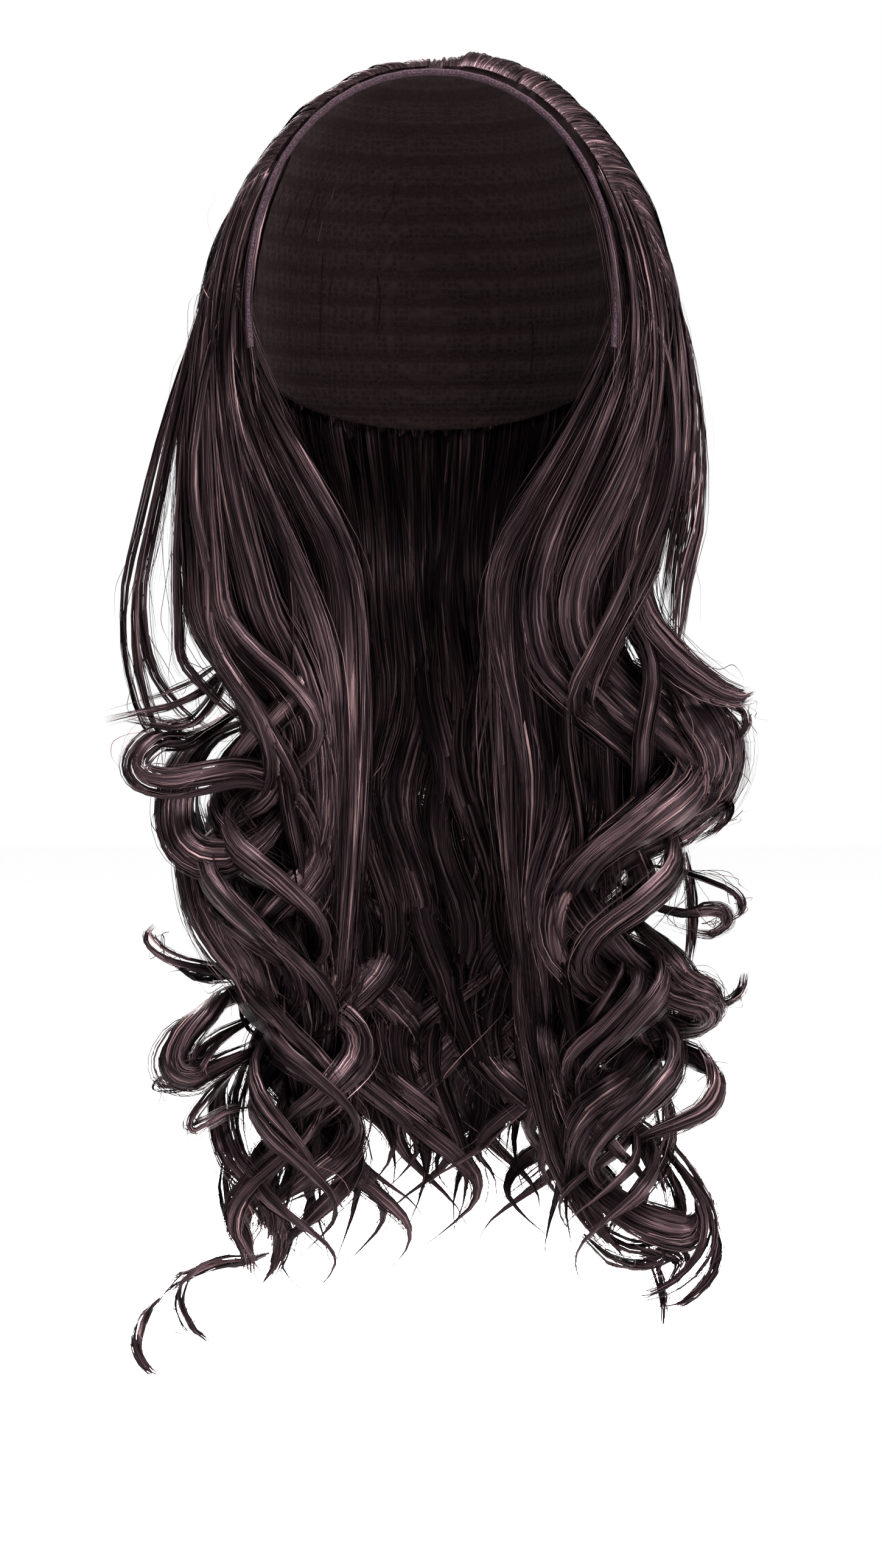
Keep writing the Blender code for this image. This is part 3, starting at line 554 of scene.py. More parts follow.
RIGHT_RIBBONS = (
    Ribbon("edge_fall_a", 10, ((905, 190, 2), (950, 262, -9), (986, 345, -4), (1006, 440, -1),
        (1016, 540, 0), (1012, 640, 4), (996, 720, 8), (962, 790, 13), (930, 850, 18))),
    Ribbon("edge_fall_b", 12, ((935, 205, 2), (985, 290, -11), (1022, 380, -6), (1043, 480, -3),
        (1050, 580, -1), (1045, 680, 2), (1022, 770, 5), (988, 840, 8), (962, 910, 12))),
    Ribbon("edge_fall_c", 12, ((958, 215, 4), (1012, 305, -9), (1050, 400, -4), (1074, 500, -1),
        (1083, 600, 1), (1078, 700, 3), (1056, 780, 5), (1026, 850, 7), (1000, 920, 10))),
    Ribbon("edge_fall_d", 11, ((975, 232, 7), (1030, 325, -5), (1070, 420, 0), (1096, 520, 3),
        (1108, 620, 4), (1110, 710, 6), (1094, 790, 8), (1068, 860, 10), (1050, 930, 12))),
    Ribbon("edge_fall_e", 9, ((1000, 265, 12), (1048, 345, 0), (1086, 440, 5), (1112, 540, 8),
        (1126, 630, 9), (1132, 720, 11), (1124, 800, 13), (1108, 880, 14), (1098, 950, 16))),
    Ribbon("sweep_middle", 24, ((1087, 600, 8), (1085, 676, 6), (1064, 768, 6), (1030, 830, 6),
        (990, 886, 6), (962, 957, 6), (958, 1020, 8), (984, 1085, 10), (1036, 1141, 12),
        (1087, 1185, 14), (1135, 1225, 20), (1160, 1270, 28), (1150, 1320, 38)), True),
    Ribbon("sweep_inner", 24, ((1046, 600, 12), (1034, 676, 10), (1004, 753, 8), (964, 814, 8),
        (928, 876, 8), (903, 947, 10), (897, 1018, 12), (912, 1085, 14), (952, 1136, 14),
        (1005, 1190, 16), (1050, 1240, 20), (1075, 1300, 26), (1060, 1370, 32)), True),
    Ribbon("sweep_outer", 18, ((1117, 600, 14), (1126, 690, 12), (1110, 768, 10), (1078, 825, 8),
        (1052, 886, 8), (1045, 957, 8), (1060, 1018, 8), (1095, 1065, 8), (1138, 1105, 8),
        (1183, 1134, 8), (1220, 1144, 10), (1238, 1136, 12)), True),
    Ribbon("outer_thin", 11, ((1138, 600, 20), (1148, 676, 18), (1153, 753, 16), (1149, 810, 16),
        (1138, 870, 16), (1124, 940, 14), (1116, 1008, 14), (1112, 1060, 14),
        (1125, 1100, 16)), True),
    Ribbon("outer_thin_inner", 6, ((1125, 700, 20), (1128, 780, 18), (1120, 850, 18),
        (1105, 920, 16), (1090, 990, 14), (1085, 1040, 14)), True),
    Ribbon("spike_loop", 3.5, ((1150, 1110, 10), (1190, 1152, 10), (1220, 1166, 10),
        (1228, 1188, 12), (1216, 1212, 14), (1196, 1222, 16))),
    Ribbon("bulge_outer", 23, ((1046, 1085, 14), (1117, 1131, 10), (1150, 1172, 10),
        (1183, 1215, 14), (1190, 1258, 22), (1173, 1300, 28), (1133, 1335, 26), (1107, 1365, 22),
        (1050, 1396, 20), (1000, 1430, 22))),
    Ribbon("bulge_inner", 18, ((990, 1120, 18), (1060, 1170, 14), (1120, 1215, 12),
        (1148, 1260, 16), (1153, 1305, 22), (1118, 1345, 24), (1075, 1380, 22), (1020, 1420, 22),
        (980, 1470, 26))),
    Ribbon("near_neck_high", 24, ((1005, 640, 20), (979, 728, 18), (930, 794, 18), (884, 850, 18),
        (856, 915, 20), (842, 985, 22), (845, 1085, 24), (862, 1187, 26), (872, 1300, 28),
        (878, 1420, 30)), True),
    Ribbon("beside_face", 20, ((1010, 560, 24), (1000, 640, 26), (970, 722, 28), (922, 790, 30),
        (874, 855, 32), (850, 935, 34), (838, 1050, 36), (842, 1250, 38), (850, 1450, 40),
        (865, 1600, 40), (880, 1720, 42)), True),
    Ribbon("near_neck_low", 22, ((880, 960, 26), (872, 1060, 28), (885, 1160, 28), (905, 1270, 28),
        (905, 1390, 30), (890, 1500, 32), (895, 1600, 34), (900, 1700, 36))),
    Ribbon("middle_fall", 22, ((930, 1180, 16), (950, 1250, 14), (950, 1330, 14), (925, 1400, 16),
        (900, 1470, 20), (895, 1550, 24), (915, 1620, 26))),
    Ribbon("middle_turn", 18, ((1060, 1330, 24), (1010, 1390, 18), (960, 1440, 12),
        (925, 1500, 10), (925, 1560, 10), (960, 1620, 12), (1010, 1660, 16), (1060, 1690, 22))),
    Ribbon("small_loop", 4, ((1160, 1290, 24), (1190, 1308, 22), (1199, 1330, 20),
        (1180, 1360, 20), (1138, 1386, 22))),
    Ribbon("thin_loop", 3, ((1060, 1420, 22), (1124, 1433, 16), (1190, 1455, 12), (1217, 1478, 12),
        (1214, 1500, 14), (1190, 1515, 18))),
    Ribbon("loop_high", 7, ((1000, 1440, 26), (1060, 1480, 18), (1112, 1497, 12), (1148, 1497, 8),
        (1183, 1500, 8), (1191, 1518, 10), (1168, 1532, 14), (1136, 1527, 20), (1080, 1508, 26))),
    Ribbon("drop_strand", 5, ((1125, 1400, 30), (1134, 1468, 28), (1136, 1533, 28),
        (1130, 1590, 28))),
    Ribbon("fold_outer", 19, ((975, 1440, 22), (985, 1500, 16), (1020, 1556, 12), (1077, 1600, 10),
        (1108, 1625, 10), (1152, 1640, 14), (1162, 1665, 20), (1137, 1682, 26), (1084, 1690, 30),
        (1054, 1703, 30), (1000, 1700, 30))),
    Ribbon("fold_inner", 13, ((1030, 1490, 22), (1060, 1530, 16), (1105, 1574, 12),
        (1128, 1609, 10), (1161, 1632, 12), (1170, 1652, 18), (1148, 1672, 26))),
    Ribbon("flick", 3.5, ((1150, 1650, 16), (1190, 1647, 14), (1216, 1628, 12), (1224, 1597, 12))),
    Ribbon("neck_tail", 17, ((868, 1500, 34), (872, 1600, 34), (884, 1700, 34), (905, 1800, 32),
        (930, 1890, 30), (957, 1960, 28), (990, 2020, 26), (1025, 2065, 26))),
    Ribbon("neck_tail_inner", 13, ((852, 1450, 40), (857, 1560, 40), (870, 1680, 40),
        (892, 1790, 40), (918, 1890, 38), (946, 1970, 36), (978, 2030, 34))),
    Ribbon("cross_back", 11, ((900, 1650, 36), (940, 1720, 32), (985, 1790, 28), (1030, 1850, 26),
        (1065, 1900, 28), (1088, 1950, 30), (1098, 2000, 34))),
    Ribbon("wave_back", 9, ((960, 1640, 38), (1010, 1700, 36), (1060, 1760, 32), (1092, 1830, 30),
        (1084, 1900, 28), (1046, 1960, 26), (1006, 2010, 26), (990, 2060, 30))),
    Ribbon("fine_back", 5, ((1000, 1800, 34), (1050, 1870, 30), (1100, 1930, 28), (1118, 1990, 26),
        (1095, 2045, 26), (1050, 2085, 28), (1005, 2095, 32))),
    Ribbon("loop_low", 12, ((1020, 1720, 34), (1070, 1725, 26), (1130, 1732, 18), (1168, 1756, 14),
        (1178, 1788, 12), (1158, 1822, 12), (1110, 1846, 12), (1054, 1867, 14), (1000, 1891, 20))),
    Ribbon("wide_low", 26, ((1075, 1690, 20), (1060, 1740, 12), (1030, 1795, 8), (985, 1840, 8),
        (955, 1890, 12), (945, 1940, 20))),
    Ribbon("neck_low", 20, ((905, 1640, 26), (912, 1710, 22), (935, 1780, 20), (950, 1850, 22),
        (945, 1910, 24))),
    Ribbon("fold_low", 18, ((930, 1850, 26), (955, 1910, 18), (992, 1958, 12), (1042, 1993, 8),
        (1089, 2014, 8), (1128, 2020, 12), (1145, 2000, 18), (1140, 1960, 26))),
    Ribbon("arc_outer", 7, ((1020, 1820, 34), (1062, 1850, 32), (1095, 1880, 28), (1130, 1925, 22),
        (1160, 1980, 18), (1165, 2032, 14), (1142, 2079, 12), (1101, 2114, 12), (1054, 2130, 14),
        (1005, 2124, 18))),
    Ribbon("arc_thin", 4, ((1070, 1880, 32), (1115, 1915, 28), (1150, 1960, 24), (1172, 2012, 20),
        (1180, 2055, 16), (1165, 2102, 14), (1124, 2140, 14), (1070, 2150, 16))),
    Ribbon("foot_drop", 5, ((1060, 2040, 24), (1077, 2085, 20), (1089, 2132, 18),
        (1092, 2190, 18))),
    Ribbon("arc_inner", 8, ((960, 2030, 26), (1007, 2070, 22), (1054, 2075, 18), (1095, 2055, 18),
        (1112, 2025, 22))),
    Ribbon("foot_turn", 8, ((940, 1960, 28), (975, 2010, 24), (1030, 2045, 20), (1080, 2050, 16),
        (1120, 2070, 18), (1105, 2110, 22), (1075, 2150, 26))),
)


# How much deeper the first points of a ribbon lie that comes from under the hair, in millimetres
HIDDEN_START = (30, 15, 5)


def ribbon_route(ribbon):
    points = np.array(ribbon.points, float)
    if not ribbon.combed:
        points[:3, 2] += HIDDEN_START
    points = np.array([photo_point(*point) for point in points])
    if ribbon.combed:
        points = join_softly(comb_back(points[0]), points)
    return smooth_route(points)


def facing_along(route, way):
    """Outwards over the crown, and below it the way that is given."""
    from_head = unit(route - HEAD_CENTRE)
    below = ease((-route[:, 2] - CROWN_FOOT) / CROWN_FADE)[:, None]
    return unit(from_head * (1 - below) + way * below)


def ribbon_facing(route):
    """Turned towards the front below the crown."""
    aside = np.sign(route[:, 0]) * 0.55
    front = np.stack([aside, -np.ones(len(route)), np.zeros(len(route))], axis=1)
    return facing_along(route, unit(front))


def edge_route(side, lift):
    """Along the cap's front edge from the parting, then down beside the face."""
    ear = np.array([side * math.sin(1.62), 0.05 + 0.10 * (1 - lift), math.cos(1.62)])
    ear = crown_point(unit(ear), lift)
    drops = np.array([0.16, 0.20, 0.25, 0.31, 0.36])
    tuck = np.array([0.88, 0.76, 0.71, 0.72, 0.76]) + 0.26 * lift
    down = np.stack([side * 0.0865 * tuck, 0.014 + 0.05 * (1 - tuck), -drops], axis=1)
    return smooth_route(np.vstack([comb_back(ear), ear, down]))


# Ribbons no wider than this, in millimetres, have no dense core
AIRY_WIDTH = 11
EDGE_LIFTS = np.linspace(0.06, 0.72, 8)
EDGE_LOOK = Look(0.013, 0.006, 66, 0.6, 0.35, 0.04)


def make_ribbons(name, side, ribbons, nodes):
    mesh = HairMesh()
    for lift in EDGE_LIFTS:
        route = edge_route(side, lift)
        add_lock(mesh, route, ribbon_facing(route), EDGE_LOOK)
    for ribbon in ribbons:
        route = ribbon_route(ribbon)
        width = ribbon.width / 1000
        thick = 0.30 * width + 0.0025
        strands = int(20 + ribbon.width * 5.5)
        dense = ribbon.width > AIRY_WIDTH
        root, start = (0.55, 1) if ribbon.combed else (0.35, 0)
        look = Look(width, thick, strands, root, 0.35, 0.07 if dense else 0.16, 8, start)
        add_lock(mesh, route, ribbon_facing(route), look, core=dense)
    return finish_hair(mesh.build(name), nodes)


# Locks that fill the mass behind the ribbons, round the sides and the back

# Half-widths of the hanging hair, in millimetres from the middle, and its depth behind the head
Level = namedtuple("Level", "drop left right back")
LEVELS = (
    Level(0.100, 97, 105, 112),
    Level(0.150, 105, 109, 112),
    Level(0.190, 107, 104, 110),
    Level(0.230, 101, 92, 108),
    Level(0.265, 89, 100, 106),
    Level(0.295, 100, 122, 105),
    Level(0.330, 102, 110, 103),
    Level(0.370, 96, 94, 100),
    Level(0.400, 84, 112, 97),
    Level(0.430, 80, 106, 94),
    Level(0.470, 84, 100, 90),
    Level(0.505, 82, 104, 86),
    Level(0.545, 78, 88, 80),
)


def mass_point(azimuth, drop, inset):
    drops, *halves = zip(*LEVELS)
    left, right, back = (np.interp(drop, drops, half) / 1000 for half in halves)
    cos, sin = np.cos(azimuth), np.sin(azimuth)
    across = np.where(cos > 0, right, left) - inset
    along = back - inset
    half = np.stack(np.broadcast_arrays(across, along), axis=-1)
    reach = oval_reach(np.stack(np.broadcast_arrays(cos, sin), axis=-1), half)
    return np.stack([cos * reach, sin * reach, -drop], axis=-1)


Wave = namedtuple("Wave", "tip turn radius pitch hand")


def random_wave(row):
    return Wave(
        row.tip - RANDOM.uniform(0, 0.05),
        RANDOM.uniform(-0.3, 0.3),
        row.radius * RANDOM.uniform(0.75, 1.15),
        RANDOM.uniform(0.88, 1.15),
        -1 if RANDOM.random() < 0.25 else 1,
    )


def fill_route(azimuth, row, wave):
    """From the front edge over the crown and down in waves that tighten into curls."""
    cos, sin = math.cos(azimuth), math.sin(azimuth)
    drops = np.arange(0.112 + 0.025 * sin, wave.tip, 0.012)
    swing = ease((drops - 0.16) / 0.16)
    pitch = (0.130 - 0.048 * swing) * wave.pitch
    turn = wave.turn + 0.35 * math.sin(3 * azimuth)
    phase = math.tau * (turn + np.concatenate([[0], np.cumsum(np.diff(drops) / pitch[1:])]))
    hand = wave.hand if cos < 0 else -wave.hand
    out = np.array([cos, sin, 0])
    sideways = np.array([-sin, cos, 0]) * hand
    around = wave.radius * swing
    outward = around * (1 - row.flatter * sin * sin)
    base = mass_point(np.full_like(drops, azimuth), drops, row.inset + 0.004 + outward)
    route = (
        base
        + out * (np.cos(phase) * outward)[:, None]
        + sideways * (np.sin(phase) * around)[:, None]
    )
    over = comb_back(route[0], HIDDEN_SHARE)
    return smooth_route(join_softly(over, route), FILL_BEND)


def inner_route(azimuth, tip_drop, turn, radius):
    """From under the cap's hem straight down beside the neck, in soft waves."""
    cos, sin = math.cos(azimuth), math.sin(azimuth)
    out = np.array([cos, sin, 0])
    sideways = np.array([-sin, cos, 0])
    polar = np.linspace(0.9, 1.75, 6)
    over = np.stack([np.sin(polar) * cos, np.sin(polar) * sin, np.cos(polar)], axis=1)
    over = crown_point(over, 0.22)
    drops = np.arange(-over[-1, 2] + 0.03, tip_drop, 0.016)
    inward = ease((drops - 0.12) / 0.10)
    outward = ease((drops - 0.42) / 0.12)
    reach = oval_reach(np.array([cos, sin]), np.array(NECK_HALF))
    first = np.linalg.norm(over[-1, :2])
    level = first + (reach - first) * inward + 0.004 * outward
    swing = radius * ease((drops - 0.16) / 0.2)
    phase = math.tau * (turn + drops / 0.105)
    down = (
        out * (level + np.cos(phase) * swing * 0.6)[:, None]
        + sideways * (np.sin(phase) * swing)[:, None]
        - np.array([0, 0, 1]) * drops[:, None]
    )
    return smooth_route(np.vstack([over, down]), FILL_BEND)


def fill_facing(route):
    """Away from the middle of the neck below the crown."""
    outward = unit(route * np.array([1, 1, 0]) + np.array([0, 0.001, 0]))
    return facing_along(route, outward)


# flatter is how much less the waves of a row stand out at the back of the head
FillRow = namedtuple("FillRow", "count first last inset tip radius flatter width strands")
FILL_ROWS = (
    FillRow(23, 3, 177, 0.000, 0.535, 0.019, 0.45, 0.022, 66),
    FillRow(17, 8, 172, 0.009, 0.520, 0.017, 0.65, 0.024, 24),
)
HIDDEN_SHARE = 0.45
FILL_THICK = 0.009
INNER_LOCKS = 25
INNER_LOOK = Look(0.018, 0.007, 42, 0.8, 0.4, 0.08)
INNER_WAVE = 0.007
NECK_HALF = (0.060, 0.070)


def make_fill(name, low, high, nodes):
    """The fill locks between two azimuths, in degrees from the right side."""
    mesh = HairMesh()
    for row in FILL_ROWS:
        for azimuth in np.linspace(row.first, row.last, row.count):
            wave = random_wave(row)
            if not low <= azimuth < high:
                continue
            route = fill_route(math.radians(azimuth), row, wave)
            look = Look(row.width, FILL_THICK, row.strands, 0.75, 0.35, 0.07)
            add_lock(mesh, route, fill_facing(route), look)
    return finish_hair(mesh.build(name), nodes)


def make_inner_curtain(name, nodes):
    """The hair next to the neck, which shows from the front through the open face, in a darker copy
    of the hair that is painted shade.
    """
    mesh = HairMesh()
    for azimuth in np.linspace(12, 168, INNER_LOCKS):
        angle = math.radians(azimuth + RANDOM.uniform(-2, 2))
        route = inner_route(angle, RANDOM.uniform(0.46, 0.53), RANDOM.uniform(0, 1), INNER_WAVE)
        add_lock(mesh, route, fill_facing(route), INNER_LOOK)
    return finish_hair(mesh.build(name), nodes, "under_hair")


# The combed hair over the cap


def comb_lines(azimuth, share):
    """Directions along the combed lines, each from the front edge to its azimuth at ear level."""
    arch = root_arch(azimuth)
    low = 1.60 + 0.22 * np.sin(azimuth)
    start = unit(np.stack([np.sin(arch), np.full(azimuth.shape, 0.004), np.cos(arch)], axis=-1))
    end = np.stack(
        [np.sin(low) * np.cos(azimuth), np.sin(low) * np.sin(azimuth), np.cos(low)], axis=-1
    )
    return great_circle(start, end, share)


def front_cover(directions):
    """From 0 on the front edge to 1 where the hair has risen to its full depth."""
    depth = np.clip(directions[..., 1] * head_radius(directions) / FRONT_ROUNDING, 0, 1)
    return np.sqrt(np.maximum(1 - (1 - depth) ** 2, 0))


# Ridges along the combed lines, where strands lie together in locks
Ripple = namedtuple("Ripple", "waves height phase drift")
RIPPLES = (
    Ripple(9, 0.00040, 0.3, 1.9),
    Ripple(17, 0.00036, 2.1, -1.4),
    Ripple(31, 0.00032, 4.4, 2.2),
    Ripple(53, 0.00026, 5.2, -1.7),
)


def comb_ripples(azimuth, share):
    total = np.zeros(np.broadcast(azimuth, share).shape)
    for ripple in RIPPLES:
        turn = azimuth * ripple.waves + ripple.phase + ripple.drift * share
        total += ripple.height * np.sin(turn)
    return total


def mantle_faces():
    """The outer and inner faces of the combed hair, as two grids of points in rows."""
    spread = np.linspace(0, 1, MANTLE_COLUMNS)
    turned = math.pi * (spread - COLUMN_CROWDING * np.sin(spread * math.tau) / math.tau)
    azimuth = math.radians(0.5) + turned * (179 / 180)
    share = np.linspace(0, 1, OVER_ROWS)[:, None] ** 1.8
    grid = comb_lines(azimuth[None], share[..., None])
    covered = front_cover(grid)
    ripples = comb_ripples(azimuth[None], share) * covered / crown_thickness(grid)
    outer_over = crown_point(grid, 0.04 + (MANTLE_LIFT - 0.04) * covered + ripples)
    inner_over = crown_point(grid, 0.02)
    start_drop = -outer_over[-1, :, 2]
    down = (np.arange(1, HANG_ROWS + 1) / HANG_ROWS)[:, None]
    drops = start_drop + (MANTLE_END - start_drop) * down
    tucked = TUCK_ANGLE * ease((drops - 0.11) / 0.07)
    swung = azimuth + tucked * np.cos(azimuth)
    hang_ripples = comb_ripples(azimuth[None], 1 + down)
    inner_down = mass_point(swung, drops, 0.020)
    full_down = mass_point(swung, drops, 0.003 - hang_ripples + 0.006 * down)
    outer_down = inner_down + (full_down - inner_down) * covered[-1][None, :, None]
    outer = settle_rows(np.concatenate([outer_over, outer_down]), OVER_ROWS)
    inner = settle_rows(np.concatenate([inner_over, inner_down]), OVER_ROWS)
    return outer, inner


def end_faces(index):
    """The faces that close the first and the last row of the sheet."""
    faces = []
    turn = MANTLE_COLUMNS + EDGE_TURNS
    for row, order in ((0, -1), (len(index) - 1, 1)):
        near = index[row, :MANTLE_COLUMNS]
        far = index[row, turn:turn + MANTLE_COLUMNS][::-1]
        strip = np.stack([near[:-1], near[1:], far[1:], far[:-1]], axis=1)
        first_edge = index[row, MANTLE_COLUMNS - 1:turn + 1]
        last_edge = np.append(index[row, turn + MANTLE_COLUMNS - 1:], index[row, 0])
        faces.extend(strip[:, ::order].tolist())
        faces.extend([first_edge[::order].tolist(), last_edge[::order].tolist()])
    return faces


def make_mantle(name, nodes):
    """The smooth combed hair over the cap and down to the curls, streaked the way it runs."""
    outer, inner = mantle_faces()
    first_edge = edge_turns(outer[:, -1], inner[:, -1])
    last_edge = edge_turns(inner[:, 0], outer[:, 0])
    loop = np.concatenate([outer, *first_edge, inner[:, ::-1], *last_edge], axis=1)
    index = np.arange(loop.size // 3).reshape(loop.shape[:2])
    after = np.roll(index, -1, axis=1)
    quads = np.stack([index[:-1], after[:-1], after[1:], index[1:]], axis=-1)
    faces = quads.reshape(-1, 4).tolist() + end_faces(index)
    mesh = bpy.data.meshes.new(name)
    mesh.from_pydata(loop.reshape(-1, 3).tolist(), [], faces)
    along = run_along(loop.swapaxes(0, 1)).T / STREAK_UNIT
    across = np.broadcast_to(run_along(loop[OVER_ROWS - 4]) / STREAK_UNIT, along.shape)
    uvs = np.stack([across, along], axis=-1).reshape(-1, 2)
    corners = np.concatenate(faces)
    mesh.uv_layers.new(name="strands").uv.foreach_set("vector", uvs[corners].astype("f").ravel())
    mesh.validate()
    mesh.shade_smooth()
    return finish_hair(add_object(name, mesh), nodes)


def settle_rows(grid, meet):
    """Wears away the kink across the rows of a sheet where two runs of them meet."""
    for _ in range(8):
        for row in range(meet - 4, meet + 4):
            grid[row] = (grid[row - 1] + 2 * grid[row] + grid[row + 1]) / 4
    return grid


def edge_turns(first, last):
    """Columns that round the front edge of a sheet, from one of its faces to the other."""
    middle, half = (first + last) / 2, (first - last) / 2
    bulge = np.minimum(np.linalg.norm(half, axis=1) * 0.4, EDGE_BULGE)[:, None]
    columns = []
    for turn in np.arange(1, EDGE_TURNS + 1) * math.pi / (EDGE_TURNS + 1):
        column = middle + half * math.cos(turn) + np.array([0, -1, 0]) * bulge * math.sin(turn)
        columns.append(column[:, None])
    return columns


def make_crown_strands(name, nodes):
    """Strands that lie on the combed hair, from the front edge up and over it."""
    mesh = HairMesh()
    bunches = CROWN_STRANDS // CROWN_BUNCH
    spread = np.repeat(RANDOM.uniform(0.0, 1.0, bunches), CROWN_BUNCH)
    spread = np.clip(spread + RANDOM.normal(0, 0.006, len(spread)), 0.002, 0.998)
    azimuth = math.pi * (spread - STRAND_CROWDING * np.sin(spread * math.tau) / math.tau)
    count = len(azimuth)
    from_root = np.repeat(RANDOM.random(bunches) < 0.7, CROWN_BUNCH)
    first = np.where(from_root, 0, RANDOM.uniform(0.1, 0.5, count))
    last = np.minimum(first + RANDOM.uniform(0.45, 0.8, count), 1)
    place = np.linspace(0, 1, STRAND_RINGS)
    share = first[:, None] + (last - first)[:, None] * place ** 1.6
    sway = np.repeat(RANDOM.normal(0, 0.012, (bunches, 1)), CROWN_BUNCH, axis=0)
    phase = np.repeat(RANDOM.uniform(0, 6, (bunches, 1)), CROWN_BUNCH, axis=0)
    sway = sway * np.sin(place * 4 + phase)
    own = RANDOM.normal(0, 0.006, (count, 1)) * place
    swung = np.clip(azimuth[:, None] + sway + own, 0.002, math.pi - 0.002)
    lines = comb_lines(swung, share[..., None])
    right = (azimuth < math.pi / 2)[:, None]
    hook = np.repeat(RANDOM.uniform(0.5, 1.2, (bunches, 1)), CROWN_BUNCH, axis=0)
    hook = hook * np.where(right, HOOK_RIGHT, HOOK_LEFT) * (1 - ease(share / 0.20))
    hook = hook * np.clip(swung, 0, 0.5) * 2
    cos, sin = np.cos(hook), np.sin(hook)
    way = np.where(right, 1, -1)
    x = lines[..., 0] * cos + lines[..., 2] * sin * way
    z = lines[..., 2] * cos - lines[..., 0] * sin * way
    lines = unit(np.stack([x, lines[..., 1], z], axis=-1))
    covered = front_cover(lines)
    sink = ease((place - 0.85) / 0.15) + (1 - ease(place / 0.1)) * (~from_root)[:, None]
    lift = 0.05 + (MANTLE_LIFT - 0.05) * covered - 0.10 * sink
    raised = RANDOM.uniform(0.0001, 0.0008, (count, 1)) * covered
    raised = raised + comb_ripples(swung, share) * covered
    centres = crown_point(lines, lift + raised / crown_thickness(lines))
    centres = centres - np.array([0, 0.0028, 0]) * (1 - covered)[..., None]
    tangents = unit(np.gradient(centres, axis=1))
    open_front = (1 - covered ** 2)[..., None] * 1.4
    facing = unit(lines * covered[..., None] + np.array([0, -1, 0]) * open_front)
    across = unit(np.cross(tangents, facing))
    widths = RANDOM.uniform(0.0004, 0.0010, (count, 1)) * np.clip((1.0 - place) / 0.2, 0, 1)
    mesh.add_strips(centres, across, widths, RANDOM.uniform(0, 400, count))
    return finish_hair(mesh.build(name), nodes)


# Loose single hairs


def make_flyaways(name, count):
    mesh = HairMesh()
    for _ in range(count):
        azimuth = math.radians(RANDOM.uniform(-8, 188))
        start = RANDOM.uniform(0.05, 0.50)
        length = RANDOM.uniform(0.015, 0.06)
        drops = np.linspace(start, min(start + length, 0.55), 8)
        wave = RANDOM.uniform(0, math.tau)
        out = np.array([math.cos(azimuth), math.sin(azimuth) * 0.8, 0])
        push = RANDOM.uniform(-0.007, 0.001) + 0.005 * np.sin(np.linspace(0, 3, 8) + wave)
        base = mass_point(np.full_like(drops, azimuth), np.maximum(drops, 0.10), 0.0)
        base[:, 2] = -drops
        narrow = np.sqrt(np.clip(1 - ((0.10 - drops) / 0.12).clip(0) ** 2, 0.2, 1))
        base[:, :2] *= narrow[:, None]
        route = base + out * push[:, None]
        swirl = RANDOM.normal(0, 0.003, 2)
        route[:, :2] += swirl * np.linspace(0, 1, 8)[:, None] ** 2
        route = smooth_route(route, 0.2)
        side, _ = frames_along(route, np.broadcast_to(out, route.shape))
        widths = np.full((1, len(route)), FLYAWAY_WIDTH)
        mesh.add_strips(route[None], side[None], widths, RANDOM.uniform(0, 400, 1))
    return finish_hair(mesh.build(name), ())


# Materials


def node(tree, kind, **values):
    made = tree.nodes.new(kind)
    for key, value in values.items():
        setattr(made, key, value)
    return made


def streak_noise(tree, coordinates, across, along, detail):
    """Noise drawn out along the strands."""
    scale = node(tree, "ShaderNodeVectorMath", operation="MULTIPLY")
    scale.inputs[1].default_value = (across, along, 1)
    tree.links.new(coordinates, scale.inputs[0])
    noise = node(tree, "ShaderNodeTexNoise")
    noise.inputs["Scale"].default_value = 1
    noise.inputs["Detail"].default_value = detail
    tree.links.new(scale.outputs[0], noise.inputs["Vector"])
    return noise.outputs["Fac"]


def ramp(tree, factor, stops):
    made = node(tree, "ShaderNodeValToRGB")
    elements = made.color_ramp.elements
    while len(elements) < len(stops):
        elements.new(0.5)
    for element, (place, colour) in zip(elements, stops):
        element.position = place
        element.color = (*colour, 1)
    tree.links.new(factor, made.inputs["Fac"])
    return made.outputs["Color"]


def bump(tree, height, strength, distance):
    made = node(tree, "ShaderNodeBump")
    made.inputs["Strength"].default_value = strength
    made.inputs["Distance"].default_value = distance
    tree.links.new(height, made.inputs["Height"])
    return made.outputs["Normal"]


def new_material(name):
    made = bpy.data.materials.new(name)
    made.use_nodes = True
    return made, made.node_tree, made.node_tree.nodes["Principled BSDF"]


FINE_SHARE = 0.62
HAIR_STOPS = (
    (0.38, (0.0012, 0.0008, 0.0010)),
    (0.49, (0.0066, 0.0040, 0.0047)),
    (0.57, (0.0250, 0.0152, 0.0166)),
    (0.66, (0.0930, 0.0565, 0.0570)),
)


